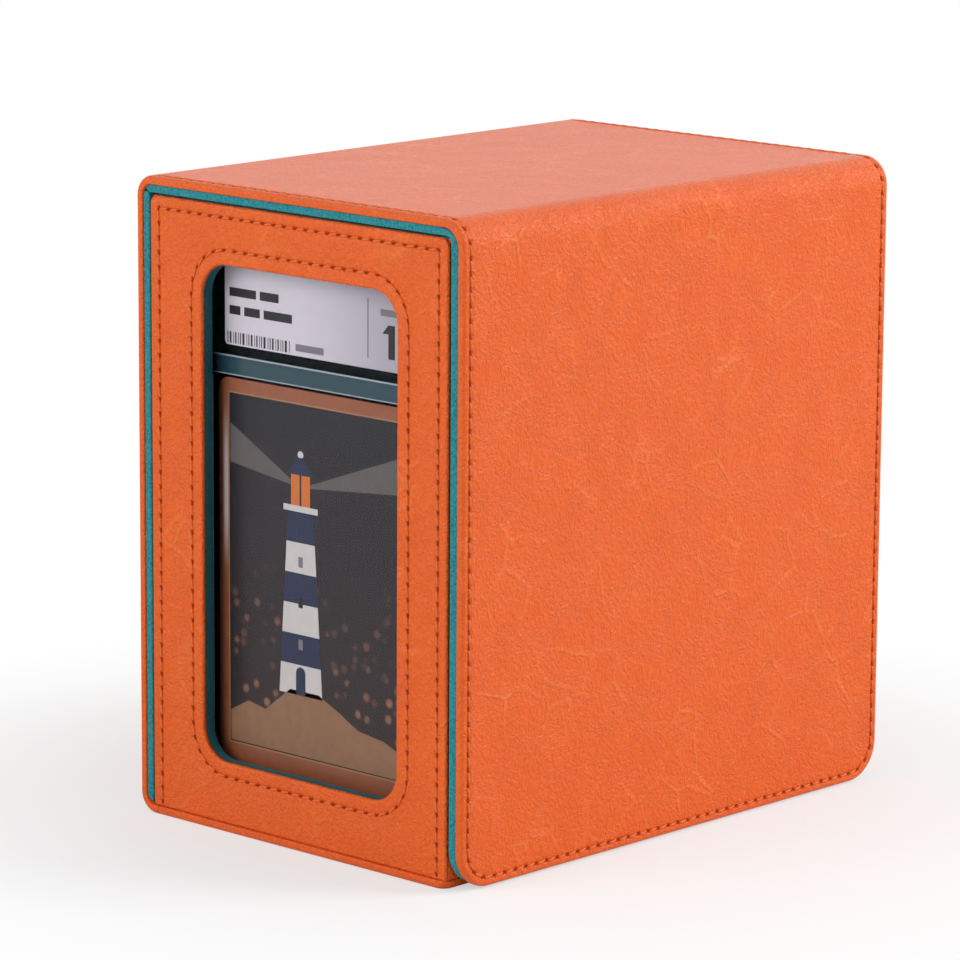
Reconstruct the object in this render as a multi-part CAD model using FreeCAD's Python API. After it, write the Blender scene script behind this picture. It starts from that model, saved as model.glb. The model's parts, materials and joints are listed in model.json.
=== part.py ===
import FreeCAD
import Part
import math
import os

# Card storage case: a leather cover wrapped round a lined tray with a display window.
# Millimetres. X runs left to right, Y front to back, Z up. The origin is at the middle of the underside.
Vector = FreeCAD.Vector

# Card and label, which set the size of their holder
card_width = 63.5
card_height = 88.9
card_thickness = 0.4
card_corner = 3.0
label_height = 23.5
label_thickness = 0.3
label_corner = 1.0

# Margins round the card and the label in the holder
card_side_margin = 8.75
card_foot_margin = 10.8
label_gap = 7.5
label_head_margin = 6.0
label_side_inset = 1.95

# Card holder that the tray is sized for
slab_corner = 3.0
slab_plate = 2.0
slab_rim = 2.5
cradle_depth = 3.0
cradle_clearance = 0.1
pocket_depth = 0.6
pocket_clearance = 0.2

# Divider behind the holder
divider_board_thickness = 1.2
divider_cloth_thickness = 0.4
divider_side_clearance = 0.6
divider_drop = 2.0

# Tray
slab_side_clearance = 2.1
slab_head_room = 3.2
slab_face_clearance = 0.6
storage_depth = 124.4
wall_lining = 1.0
wall_board = 1.9
wall_leather = 0.8
facing_leather = 1.0
facing_corner = 2.0
facing_roll = 0.7
floor_lining_thickness = 1.8

# Frame that the front wall leaves round its window, which sits a little right of the middle
window_stile = 15.85
window_shift = 0.7
window_sill = 14.3
window_head = 13.5
window_corner = 7.5
window_roll = 0.6

# Cover that wraps the tray
cover_leather = 0.8
cover_board = 1.2
spine_pad_thickness = 2.2
lid_pad_thickness = 2.0
flap_pad_thickness = 2.7
spine_bend_radius = 4.8
flap_bend_radius = 6.5
flap_corner = 9.0
base_corner = 3.0
edge_roll = 1.0
pad_inset = 0.4
pad_roll = 0.6
tray_recess = 0.3
lid_gap = 0.3
flap_gap = 0.5
flap_floor_gap = 0.4
spine_pad_end_gap = 0.6
lid_pad_end_gap = 0.3
bend_lining_gap = 0.3
bend_lining_corner = 0.8
bend_lining_drop = 0.8
flap_pad_top_gap = 0.3

# Magnets of the closure
magnet_diameter = 10.0
magnet_thickness = 1.0
magnet_clearance = 0.1
magnet_spacing = 80.0
magnet_rise = 22.0

# Thread, laid in a groove
thread_width = 0.6
thread_depth = 0.4
cover_thread_inset = 2.1
facing_thread_inset = 2.8
window_thread_inset = 3.4

# Cuts run past the faces that they open
overrun = 1.0
# Inner outlines keep at least this corner radius
least_corner = 0.6
same_place = 1e-6

# Outline of the label and the holder
label_width = card_width - 2 * label_side_inset
slab_width = card_width + 2 * card_side_margin
slab_height = card_foot_margin + card_height + label_gap + label_height + label_head_margin

# Thickness of the layers
slab_thickness = slab_plate + cradle_depth + slab_plate
divider_thickness = divider_board_thickness + 2 * divider_cloth_thickness
cover_thickness = cover_leather + cover_board
side_wall = wall_leather + wall_board + wall_lining
end_wall = facing_leather + wall_board + wall_lining

# Inside and outside sizes of the tray and of the case
inner_width = slab_width + 2 * slab_side_clearance
inner_depth = slab_face_clearance + slab_thickness + slab_face_clearance + divider_thickness + storage_depth
inner_height = slab_height + slab_head_room
tray_width = inner_width + 2 * side_wall
case_width = 2 * cover_thickness + spine_pad_thickness + tray_width + flap_gap + flap_pad_thickness
case_depth = inner_depth + 2 * (end_wall + tray_recess)
case_height = 2 * cover_thickness + floor_lining_thickness + inner_height + lid_gap + lid_pad_thickness

# Faces across the width, from left to right
half_width = case_width / 2
spine_face = -half_width + cover_thickness
tray_left = spine_face + spine_pad_thickness
tray_right = tray_left + tray_width
left_board_face = tray_left + wall_leather
left_lining_face = left_board_face + wall_board
inner_left = left_lining_face + wall_lining
inner_right = inner_left + inner_width
right_lining_face = inner_right + wall_lining
right_board_face = right_lining_face + wall_board
flap_pad_face = tray_right + flap_gap
flap_face = flap_pad_face + flap_pad_thickness

# Faces from front to back; the back half mirrors the front
half_depth = case_depth / 2
facing_front = -half_depth + tray_recess
board_front = facing_front + facing_leather
lining_front = board_front + wall_board
inner_front = lining_front + wall_lining
slab_front = inner_front + slab_face_clearance
slab_back = slab_front + slab_thickness
divider_front = slab_back + slab_face_clearance
divider_back = divider_front + divider_thickness

# Levels from the floor up
base_top = cover_thickness
floor_top = base_top + floor_lining_thickness
wall_top = floor_top + inner_height
board_top = wall_top - wall_lining
lid_pad_bottom = wall_top + lid_gap
lid_face = lid_pad_bottom + lid_pad_thickness

# Window in the front wall
window_x = (tray_left + window_stile + window_shift, tray_right - window_stile + window_shift)
window_middle = sum(window_x) / 2
window_z = (base_top + window_sill, wall_top - window_head)

# Middles of the bends in the cover
spine_bend_x = -half_width + spine_bend_radius
spine_bend_high = case_height - spine_bend_radius
spine_bend_low = spine_bend_radius
flap_bend_x = half_width - flap_bend_radius
flap_bend_z = case_height - flap_bend_radius


def box(x, y, z):
    """Box between (low, high) pairs on the three axes."""
    return Part.makeBox(x[1] - x[0], y[1] - y[0], z[1] - z[0], Vector(x[0], y[0], z[0]))


def rectangle(u, v, low_radius, high_radius):
    """Corners of a rectangle with one radius for its low corners and one for its high corners."""
    return [
        (u[0], v[0], low_radius),
        (u[1], v[0], low_radius),
        (u[1], v[1], high_radius),
        (u[0], v[1], high_radius),
    ]


def grown(span, amount):
    """The (low, high) pair with both ends moved outwards."""
    return (span[0] - amount, span[1] + amount)


def prism(axis, span, corners):
    """Solid along an axis whose outline is a polygon of (u, v, radius) corners, rounded by their radii."""

    def place(point):
        u, v = point
        return {"x": Vector(span[0], u, v), "y": Vector(u, span[0], v), "z": Vector(u, v, span[0])}[axis]

    rounds = []
    for i, (u, v, radius) in enumerate(corners):
        before = corners[i - 1]
        after = corners[(i + 1) % len(corners)]
        back = math.atan2(before[1] - v, before[0] - u)
        ahead = math.atan2(after[1] - v, after[0] - u)
        half = math.atan2(math.sin(ahead - back), math.cos(ahead - back)) / 2
        reach = radius / abs(math.tan(half))
        middle = radius / abs(math.sin(half)) - radius
        start = (u + reach * math.cos(back), v + reach * math.sin(back))
        end = (u + reach * math.cos(ahead), v + reach * math.sin(ahead))
        crest = (u + middle * math.cos(back + half), v + middle * math.sin(back + half))
        rounds.append((radius, place(start), place(crest), place(end)))
    edges = []
    for i, (radius, start, crest, end) in enumerate(rounds):
        if radius > 0:
            edges.append(Part.Arc(start, crest, end).toShape())
        next_start = rounds[(i + 1) % len(rounds)][1]
        if end.distanceToPoint(next_start) > same_place:
            edges.append(Part.makeLine(end, next_start))
    length = span[1] - span[0]
    along = {"x": Vector(length, 0, 0), "y": Vector(0, length, 0), "z": Vector(0, 0, length)}[axis]
    return Part.Face(Part.Wire(edges)).extrude(along)


def mirrored_back(shape):
    """The same piece on the other side of the middle of the depth."""
    return shape.mirror(Vector(0, 0, 0), Vector(0, 1, 0))


def middle_of(edge):
    """Point halfway along an edge."""
    return edge.valueAt(sum(edge.ParameterRange) / 2)


def near(a, b):
    """True where two lengths are the same but for rounding."""
    return abs(a - b) < same_place


# Cover


def on_outer_face(point):
    """True where a point lies on the outside of the cover, bends included."""
    bends = [
        (spine_bend_x, spine_bend_low, -1, -1, spine_bend_radius),
        (spine_bend_x, spine_bend_high, -1, 1, spine_bend_radius),
        (flap_bend_x, flap_bend_z, 1, 1, flap_bend_radius),
    ]
    for x, z, side_x, side_z, radius in bends:
        across = (point.x - x) * side_x
        up = (point.z - z) * side_z
        if across > 0 and up > 0:
            return near(math.hypot(across, up), radius)
    return near(abs(point.x), half_width) or near(point.z, 0) or near(point.z, case_height)


def on_rim(edge):
    """True for the outer edges of the cover: front, back, foot of the flap and right side of the base."""
    point = middle_of(edge)
    at_end = abs(point.y) > half_depth - flap_corner
    at_flap_foot = near(point.z, flap_floor_gap)
    at_base_side = near(point.x, tray_right)
    return on_outer_face(point) and (at_end or at_flap_foot or at_base_side)


def on_base_corner(point):
    """True on the two upright edges at the right side of the base."""
    return near(point.x, tray_right) and near(abs(point.y), half_depth)


def flap_plate(x, inset, top):
    """Plate with the outline of the flap, moved in from its edges."""
    y = grown((-half_depth, half_depth), -inset)
    return prism("x", x, rectangle(y, (flap_floor_gap + inset, top), flap_corner - inset, 0))


def cover_wrap():
    """The whole cover before it is parted at the bends, with rolled outer edges."""
    inner_spine_radius = spine_bend_radius - cover_thickness
    section = [
        (tray_right, 0, 0),
        (-half_width, 0, spine_bend_radius),
        (-half_width, case_height, spine_bend_radius),
        (half_width, case_height, flap_bend_radius),
        (half_width, flap_floor_gap, 0),
        (flap_face, flap_floor_gap, 0),
        (flap_face, lid_face, flap_bend_radius - cover_thickness),
        (spine_face, lid_face, inner_spine_radius),
        (spine_face, base_top, inner_spine_radius),
        (tray_right, base_top, 0),
    ]
    wrap = prism("y", (-half_depth, half_depth), section)
    flap_x = grown((flap_face, half_width), overrun)
    flap_y = grown((-half_depth, half_depth), overrun)
    flap_block = box(flap_x, flap_y, (flap_floor_gap - overrun, flap_bend_z))
    wrap = wrap.cut(flap_block.cut(flap_plate(flap_x, 0, flap_bend_z + overrun)))
    upright = [e for e in wrap.Edges if on_base_corner(middle_of(e))]
    wrap = wrap.makeFillet(base_corner, upright)
    return wrap.makeFillet(edge_roll, [e for e in wrap.Edges if on_rim(e)])


def cover_zone(corners):
    """Prism through the whole depth, which picks one panel out of the cover."""
    return prism("y", grown((-half_depth, half_depth), overrun), [(x, z, 0) for x, z in corners])


def base_board():
    x = (spine_bend_x, tray_right - cover_leather)
    y = grown((-half_depth, half_depth), -cover_leather)
    radius = base_corner - cover_leather
    corners = [(x[0], y[0], 0), (x[1], y[0], radius), (x[1], y[1], radius), (x[0], y[1], 0)]
    return prism("z", (cover_leather, base_top), corners)


def base_leather(wrap):
    zone = box(
        (spine_bend_x, tray_right + overrun),
        grown((-half_depth, half_depth), overrun),
        grown((0, base_top), overrun),
    )
    return wrap.common(zone).cut(base_board())


def spine_board():
    y = grown((-half_depth, half_depth), -cover_leather)
    return box((-half_width + cover_leather, spine_face), y, (spine_bend_low, spine_bend_high))


def spine_thread():
    strips = []
    for side in (-1, 1):
        line = side * (half_depth - cover_thread_inset)
        y = grown((line, line), thread_width / 2)
        strips.append(box((-half_width, -half_width + thread_depth), y, (spine_bend_low, spine_bend_high)))
    return strips


def spine_leather(wrap):
    reach = case_width + case_height
    zone = cover_zone([
        (spine_bend_x, spine_bend_high),
        (spine_bend_x - reach, spine_bend_high + reach),
        (spine_bend_x - reach, -reach),
        (spine_bend_x, -reach),
    ])
    return wrap.common(zone).cut(spine_board()).cut(spine_thread())


def spine_pad():
    x = (spine_face, tray_left)
    z = grown((base_top, lid_face), -spine_pad_end_gap)
    radius = spine_pad_thickness
    corners = [(x[0], z[0], radius), (x[1], z[0], 0), (x[1], z[1], 0), (x[0], z[1], radius)]
    return prism("y", grown((-half_depth, half_depth), -pad_inset), corners)


def lid_board():
    y = grown((-half_depth, half_depth), -cover_leather)
    return box((spine_bend_x, flap_bend_x), y, (lid_face, case_height - cover_leather))


def lid_thread():
    strips = []
    for side in (-1, 1):
        line = side * (half_depth - cover_thread_inset)
        y = grown((line, line), thread_width / 2)
        strips.append(box((spine_bend_x, flap_bend_x), y, (case_height - thread_depth, case_height)))
    return strips


def lid_leather(wrap):
    reach = case_width + case_height
    zone = cover_zone([
        (spine_bend_x - reach, spine_bend_high + reach),
        (spine_bend_x, spine_bend_high),
        (flap_bend_x, flap_bend_z),
        (flap_bend_x + reach, flap_bend_z + reach),
    ])
    return wrap.common(zone).cut(lid_board()).cut(lid_thread())


def lid_pad():
    x = (tray_left + lid_pad_end_gap, flap_bend_x)
    y = grown((-half_depth, half_depth), -pad_inset)
    pad = box(x, y, (lid_pad_bottom, lid_face))
    ends = [e for e in pad.Edges if near(abs(middle_of(e).y), y[1]) and near(middle_of(e).x, sum(x) / 2)]
    return pad.makeFillet(pad_roll, ends)


def bend_lining():
    """Lining that carries on from the lid, round the bend to the flap."""
    outer_radius = flap_bend_radius - cover_thickness - bend_lining_gap
    foot = flap_bend_z - bend_lining_drop
    corners = [
        (flap_bend_x, flap_bend_z + outer_radius, 0),
        (flap_bend_x + outer_radius, flap_bend_z + outer_radius, outer_radius),
        (flap_bend_x + outer_radius, foot, 0),
        (flap_pad_face, foot, 0),
        (flap_pad_face, lid_pad_bottom, bend_lining_corner),
        (flap_bend_x, lid_pad_bottom, 0),
    ]
    return prism("y", grown((-half_depth, half_depth), -pad_inset), corners)


def magnet_discs(x, radius):
    """The row of discs along the foot of the closure, between two faces across the width."""
    level = flap_floor_gap + magnet_rise
    discs = []
    for side in (-1, 1):
        centre = Vector(x[0], side * magnet_spacing / 2, level)
        discs.append(Part.makeCylinder(radius, x[1] - x[0], centre, Vector(1, 0, 0)))
    return discs


def flap_magnets():
    return magnet_discs((flap_face, flap_face + magnet_thickness), magnet_diameter / 2)


def flap_board_blank():
    return flap_plate((flap_face, half_width - cover_leather), cover_leather, flap_bend_z)


def flap_board():
    holes = magnet_discs((flap_face, half_width - cover_leather), magnet_diameter / 2 + magnet_clearance)
    return flap_board_blank().cut(holes)


def flap_thread():
    x = (half_width - thread_depth, half_width)
    outside = flap_plate(x, cover_thread_inset - thread_width / 2, flap_bend_z)
    inside = flap_plate(grown(x, overrun), cover_thread_inset + thread_width / 2, flap_bend_z + overrun)
    return outside.cut(inside)


def flap_leather(wrap):
    reach = case_width + case_height
    zone = cover_zone([
        (flap_bend_x, flap_bend_z),
        (flap_bend_x + reach, flap_bend_z + reach),
        (flap_bend_x + reach, -reach),
        (flap_pad_face, -reach),
        (flap_pad_face, flap_bend_z),
    ])
    return wrap.common(zone).cut(flap_board_blank()).cut(flap_thread())


def flap_pad():
    top = flap_bend_z - bend_lining_drop - flap_pad_top_gap
    pad = flap_plate((flap_pad_face, flap_face), pad_inset, top)
    facing_tray = [e for e in pad.Edges if near(middle_of(e).x, flap_pad_face)]
    return pad.makeFillet(pad_roll, [e for e in facing_tray if not near(middle_of(e).z, top)])


# Tray


def tray_plate(y, inset):
    """Plate with the outline of the front facing, moved in from its left, right and top edges."""
    x = grown((tray_left, tray_right), -inset)
    radius = max(facing_corner - inset, least_corner)
    return prism("y", y, rectangle(x, (base_top, wall_top - inset), 0, radius))


def window_plate(y, margin):
    """Plate that fills the window, grown by a margin all round."""
    radius = window_corner + margin
    return prism("y", y, rectangle(grown(window_x, margin), grown(window_z, margin), radius, radius))


def edge_thread():
    y = (facing_front, facing_front + thread_depth)
    outside = tray_plate(y, facing_thread_inset - thread_width / 2)
    return outside.cut(tray_plate(grown(y, overrun), facing_thread_inset + thread_width / 2))


def window_thread():
    y = (facing_front, facing_front + thread_depth)
    outside = window_plate(y, window_thread_inset + thread_width / 2)
    return outside.cut(window_plate(grown(y, overrun), window_thread_inset - thread_width / 2))


def facing():
    """Leather sheet of an end wall, with its left, right and top edges rolled."""
    sheet = tray_plate((facing_front, board_front), 0)
    outside = [e for e in sheet.Edges if near(middle_of(e).y, facing_front)]
    return sheet.makeFillet(facing_roll, [e for e in outside if not near(middle_of(e).z, base_top)])


def front_leather():
    sheet = facing().cut(window_plate(grown((facing_front, board_front), overrun), 0))
    x = grown(window_x, same_place)
    z = grown(window_z, same_place)
    rolled = []
    for edge in sheet.Edges:
        point = middle_of(edge)
        if near(point.y, facing_front) and x[0] < point.x < x[1] and z[0] < point.z < z[1]:
            rolled.append(edge)
    return sheet.makeFillet(window_roll, rolled).cut(edge_thread()).cut(window_thread())


def back_leather():
    return mirrored_back(facing().cut(edge_thread()))


def end_wall_board():
    """Board of the front or back wall, shown at the front, between the side boards."""
    return box((left_lining_face, right_lining_face), (board_front, lining_front), (base_top, board_top))


def front_wall_board():
    return end_wall_board().cut(window_plate(grown((board_front, lining_front), overrun), wall_lining))


def end_wall_lining():
    """Lining sheet of an end wall with the hem that covers the top of its board."""
    sheet = box((inner_left, inner_right), (lining_front, inner_front), (base_top, wall_top))
    hem = box((left_lining_face, right_lining_face), (board_front, lining_front), (board_top, wall_top))
    return sheet.fuse(hem).removeSplitter()


def front_lining():
    """End lining with the window, turned through the board so that it covers the cut edge."""
    collar = window_plate((board_front, lining_front), wall_lining)
    hole = window_plate(grown((board_front, inner_front), overrun), 0)
    return end_wall_lining().fuse(collar).cut(hole).removeSplitter()


def side_wall_leather(x):
    return box(x, (board_front, -board_front), (base_top, wall_top))


def side_wall_board(x):
    return box(x, (board_front, -board_front), (base_top, board_top))


def side_wall_lining(sheet_x, hem_x):
    sheet = box(sheet_x, (lining_front, -lining_front), (base_top, wall_top))
    hem = box(hem_x, (board_front, -board_front), (board_top, wall_top))
    return sheet.fuse(hem).removeSplitter()


def right_wall_board():
    x = (right_lining_face, right_board_face)
    return side_wall_board(x).cut(magnet_discs(x, magnet_diameter / 2 + magnet_clearance))


def wall_magnets():
    return magnet_discs((right_board_face - magnet_thickness, right_board_face), magnet_diameter / 2)


def floor_lining():
    return box((inner_left, inner_right), (inner_front, -inner_front), (base_top, floor_top))


# Divider


def divider_cloth():
    """Cloth folded over the top of the divider board."""
    x = grown((inner_left, inner_right), -divider_side_clearance)
    z = (floor_top, wall_top - divider_drop)
    return box(x, (divider_front, divider_back), z).cut(divider_board())


def divider_board():
    x = grown((inner_left, inner_right), -divider_side_clearance)
    y = grown((divider_front, divider_back), -divider_cloth_thickness)
    return box(x, y, (floor_top, wall_top - divider_drop - divider_cloth_thickness))


# Card holder


def slab_plate_solid(y, inset):
    """Plate with the outline of the holder, moved in from its edges."""
    x = grown((window_middle - slab_width / 2, window_middle + slab_width / 2), -inset)
    z = grown((floor_top, floor_top + slab_height), -inset)
    radius = max(slab_corner - inset, least_corner)
    return prism("y", y, rectangle(x, z, radius, radius))


def slab_halves():
    """Front and rear shell, each a plate with a rim round the cradle."""
    seam = (slab_front + slab_back) / 2
    room = slab_plate_solid((slab_front + slab_plate, slab_back - slab_plate), slab_rim)
    front = slab_plate_solid((slab_front, seam), 0).cut(room)
    rear = slab_plate_solid((seam, slab_back), 0).cut(room)
    return front, rear


def card_sheet(y, margin):
    """Card between two faces of the depth, grown by a margin."""
    x = grown((window_middle - card_width / 2, window_middle + card_width / 2), margin)
    z = grown((floor_top + card_foot_margin, floor_top + card_foot_margin + card_height), margin)
    return prism("y", y, rectangle(x, z, card_corner, card_corner))


def label_sheet(y, margin):
    """Label between two faces of the depth, grown by a margin."""
    foot = floor_top + card_foot_margin + card_height + label_gap
    x = grown((window_middle - label_width / 2, window_middle + label_width / 2), margin)
    z = grown((foot, foot + label_height), margin)
    return prism("y", y, rectangle(x, z, label_corner, label_corner))


def slab_cradle():
    y = (slab_front + slab_plate, slab_back - slab_plate)
    pocket = (y[0] - overrun, y[0] + pocket_depth)
    block = slab_plate_solid(y, slab_rim + cradle_clearance)
    return block.cut(card_sheet(pocket, pocket_clearance)).cut(label_sheet(pocket, pocket_clearance))


def slab_card():
    pocket_floor = slab_front + slab_plate + pocket_depth
    return card_sheet((pocket_floor - card_thickness, pocket_floor), 0)


def slab_label():
    pocket_floor = slab_front + slab_plate + pocket_depth
    return label_sheet((pocket_floor - label_thickness, pocket_floor), 0)


def save(name, shape):
    """Writes one node and says how many solids it holds."""
    if isinstance(shape, list):
        shape = Part.Compound(shape)
    solids = shape.Solids
    if not solids or not shape.isValid():
        raise ValueError(f"{name} has no sound solid")
    if len(solids) == 1:
        shape = solids[0]
    shape.exportStep(f"parts/{name}.step")
    print(f"{name}: {len(solids)} solid(s), {shape.Volume:.1f} mm3")


def main():
    os.makedirs("parts", exist_ok=True)
    wrap = cover_wrap()
    slab_front_shell, slab_rear_shell = slab_halves()
    nodes = {
        "base_leather": base_leather(wrap),
        "base_board": base_board(),
        "spine_leather": spine_leather(wrap),
        "spine_board": spine_board(),
        "spine_pad": spine_pad(),
        "spine_thread": spine_thread(),
        "lid_leather": lid_leather(wrap),
        "lid_board": lid_board(),
        "lid_pad": lid_pad(),
        "lid_thread": lid_thread(),
        "bend_lining": bend_lining(),
        "flap_leather": flap_leather(wrap),
        "flap_board": flap_board(),
        "flap_pad": flap_pad(),
        "flap_thread": flap_thread(),
        "flap_magnets": flap_magnets(),
        "floor_lining": floor_lining(),
        "front_leather": front_leather(),
        "front_edge_thread": edge_thread(),
        "window_thread": window_thread(),
        "front_wall_board": front_wall_board(),
        "front_lining": front_lining(),
        "back_leather": back_leather(),
        "back_edge_thread": mirrored_back(edge_thread()),
        "back_wall_board": mirrored_back(end_wall_board()),
        "back_lining": mirrored_back(end_wall_lining()),
        "left_wall_leather": side_wall_leather((tray_left, left_board_face)),
        "left_wall_board": side_wall_board((left_board_face, left_lining_face)),
        "left_lining": side_wall_lining((left_lining_face, inner_left), (left_board_face, left_lining_face)),
        "right_wall_leather": side_wall_leather((right_board_face, tray_right)),
        "right_wall_board": right_wall_board(),
        "right_lining": side_wall_lining((inner_right, right_lining_face), (right_lining_face, right_board_face)),
        "wall_magnets": wall_magnets(),
        "divider_board": divider_board(),
        "divider_cloth": divider_cloth(),
        "slab_front_shell": slab_front_shell,
        "slab_rear_shell": slab_rear_shell,
        "slab_cradle": slab_cradle(),
        "slab_label": slab_label(),
        "slab_card": slab_card(),
    }
    for name, shape in nodes.items():
        save(name, shape)


main()
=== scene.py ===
import json
import math

import bmesh
import bpy
import numpy as np
from mathutils import Matrix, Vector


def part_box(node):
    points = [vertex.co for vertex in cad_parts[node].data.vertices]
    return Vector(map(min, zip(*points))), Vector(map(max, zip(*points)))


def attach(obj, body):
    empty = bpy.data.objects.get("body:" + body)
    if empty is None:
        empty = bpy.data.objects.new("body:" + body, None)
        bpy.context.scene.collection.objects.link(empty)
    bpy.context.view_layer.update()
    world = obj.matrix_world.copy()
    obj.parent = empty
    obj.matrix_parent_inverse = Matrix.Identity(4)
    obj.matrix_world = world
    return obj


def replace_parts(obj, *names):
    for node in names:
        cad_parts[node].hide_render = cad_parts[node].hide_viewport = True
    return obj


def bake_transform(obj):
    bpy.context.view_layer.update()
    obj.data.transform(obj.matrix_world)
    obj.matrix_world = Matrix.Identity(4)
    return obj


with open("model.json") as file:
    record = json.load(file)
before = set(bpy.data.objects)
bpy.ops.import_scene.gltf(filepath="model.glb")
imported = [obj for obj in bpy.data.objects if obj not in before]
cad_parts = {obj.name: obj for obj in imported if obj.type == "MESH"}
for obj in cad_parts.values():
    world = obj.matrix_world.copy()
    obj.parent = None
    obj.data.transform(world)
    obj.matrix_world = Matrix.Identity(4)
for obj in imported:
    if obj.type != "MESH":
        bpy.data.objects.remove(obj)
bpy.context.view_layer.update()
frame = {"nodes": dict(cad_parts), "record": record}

# Card storage case, dressed: a stitched leather cover round a lined tray with a display window.
# Shapes are worked out in millimetres in the frame's own axes and put into meshes in metres.
mm = 0.001
quarter_turn = math.pi / 2


def node_box(name):
    """Low and high corner of a frame node, in millimetres."""
    low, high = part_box(name)
    return np.array(low) / mm, np.array(high) / mm


# Sizes of the cover, read from the frame or shared with it
half_depth = node_box("base_leather")[1][1]
half_width = node_box("flap_leather")[1][0]
case_height = node_box("lid_leather")[1][2]
cover_thickness = node_box("base_leather")[1][2]
base_right = node_box("base_leather")[1][0]
flap_foot = node_box("flap_leather")[0][2]
spine_bend_radius = 4.8
flap_bend_radius = 6.5
flap_corner = 9.0
base_corner = 3.0
edge_roll = 1.0
tucked_edge = 0.35
cover_seam = 2.1

# Flat stretches that the bent strips take over from the panels beside them
spine_bend_flat = 1.3
flap_bend_flat = 1.7
# How far one skin laps over the next at a join, and how proud of it it lies
lap = 1.0
lap_lift = 0.02

# Front and back panels of the tray
panel_low, panel_high = node_box("front_leather")
panel_thickness = panel_high[1] - panel_low[1]
panel_corner = 2.0
panel_foot_corner = 0.6
panel_roll = 0.7
panel_seam = 2.8
panel_seam_foot = 1.2
window_seam = 3.4
window_corner = 7.5
window_roll = 0.6
thread_width = 0.6
window_low = node_box("window_thread")[0] + window_seam + thread_width / 2
window_high = node_box("window_thread")[1] - window_seam - thread_width / 2

# Stitching
stitch_pitch = 3.4
groove_depth = 0.14
groove_width = 0.5
pit_depth = 0.3
pit_width = 0.6
thread_radius = 0.3
thread_lift = -0.02
thread_drop = 0.5
thread_taper = 0.3
thread_skew = 0.24
thread_start = 0.16
# Dark ovals down in the needle holes, which carry their painted shade
slit_length = 1.55
slit_width = 0.5
slit_depth = 0.12
slit_tip = 0.3
slit_slant = 16

# Lines of the skins near a seam, by their distance from it, and the step between lines across it
seam_lines = np.array([1.6, 1.15, 0.85, 0.6, 0.4, 0.2, 0.0, -0.2, -0.4, -0.6, -0.8])
seam_reach = 2.0
seam_step = 0.4

# Padded linings and sheets
crown_reach = 5.0
pad_roll = 0.4
pad_draw = 0.25
sheet_roll = 0.5
square_corner = 0.5
cloth = 1.0
hem_radius = 0.7


# Helpers for meshes


def grid_faces(rows, columns, round_rows=False, round_columns=False):
    """Quads between neighbouring rows and columns of a grid, joined end to end where a direction is round."""
    row, column = np.meshgrid(
        np.arange(rows if round_rows else rows - 1),
        np.arange(columns if round_columns else columns - 1),
        indexing="ij",
    )
    next_row = (row + 1) % rows
    next_column = (column + 1) % columns
    corners = [(row, column), (next_row, column), (next_row, next_column), (row, next_column)]
    return np.stack([r * columns + c for r, c in corners], axis=-1).reshape(-1, 4)


def swept_faces(rows, columns):
    """Faces of a closed section carried along a path, with a cap at each end."""
    cap = np.arange(columns)
    faces = grid_faces(rows, columns, round_columns=True).tolist()
    return faces + [cap.tolist(), (cap + (rows - 1) * columns).tolist()]


def repeated(faces, count, points_each):
    """Faces of one form, repeated for several forms whose points follow each other."""
    firsts = range(0, count * points_each, points_each)
    return [[first + i for i in face] for first in firsts for face in faces]


def there_and_back(values, back=None):
    """Values round a closed section: along one half of it, and back along the other half, which may
    differ."""
    back = values if back is None else back
    return np.concatenate([values, back[-2:0:-1]])


def quarter_round(radius, steps):
    """Insets and depths of the lines over a quarter-round edge, from the face to the rim."""
    turn = np.linspace(0, quarter_turn, steps)
    return radius * (1 - np.sin(turn)), radius * (1 - np.cos(turn))


def add_object(name, data):
    """New object of the scene."""
    made = bpy.data.objects.new(name, data)
    bpy.context.scene.collection.objects.link(made)
    return made


def add_piece(name, points, faces, materials, face_materials=None, solid=True):
    """Puts points in millimetres and their faces into a new piece, merges doubles and turns its faces
    outwards. End caps, which have many corners, stay flat. Flat print isn't solid: it is left as drawn."""
    mesh = bpy.data.meshes.new(name)
    corners = (np.asarray(points).reshape(-1, 3) * mm).tolist()
    mesh.from_pydata(corners, [], [list(map(int, face)) for face in faces])
    for material in materials:
        mesh.materials.append(material)
    if face_materials is not None:
        mesh.polygons.foreach_set("material_index", np.asarray(face_materials, dtype=np.int32))
    quads = np.array([len(face) <= 4 for face in faces])
    mesh.polygons.foreach_set("use_smooth", quads & solid)
    shape = bmesh.new()
    shape.from_mesh(mesh)
    bmesh.ops.remove_doubles(shape, verts=shape.verts, dist=0.002 * mm)
    if solid:
        bmesh.ops.recalc_face_normals(shape, faces=shape.faces)
    shape.to_mesh(mesh)
    shape.free()
    piece = add_object(name, mesh)
    return piece


# Helpers for materials


def linear(code):
    """Linear RGBA of an sRGB hex colour."""
    srgb = np.array([int(code[i:i + 2], 16) for i in (1, 3, 5)]) / 255
    flat = np.where(srgb <= 0.04045, srgb / 12.92, ((srgb + 0.055) / 1.055) ** 2.4)
    return (*flat.tolist(), 1.0)


def node(tree, kind, inputs=None, **settings):
    """Adds one shader node, applies its settings, and fills or links its inputs."""
    made = tree.nodes.new("ShaderNode" + kind)
    for key, value in settings.items():
        setattr(made, key, value)
    for key, value in (inputs or {}).items():
        if isinstance(value, bpy.types.NodeSocket):
            tree.links.new(value, made.inputs[key])
        else:
            made.inputs[key].default_value = value
    return made


def new_material(name):
    """Empty node material with its output, ready for a shader."""
    material = bpy.data.materials.new(name)
    material.use_nodes = True
    tree = material.node_tree
    tree.nodes.clear()
    output = node(tree, "OutputMaterial")
    place = node(tree, "TexCoord").outputs["Object"]
    return material, tree, output, place


# Materials


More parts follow.
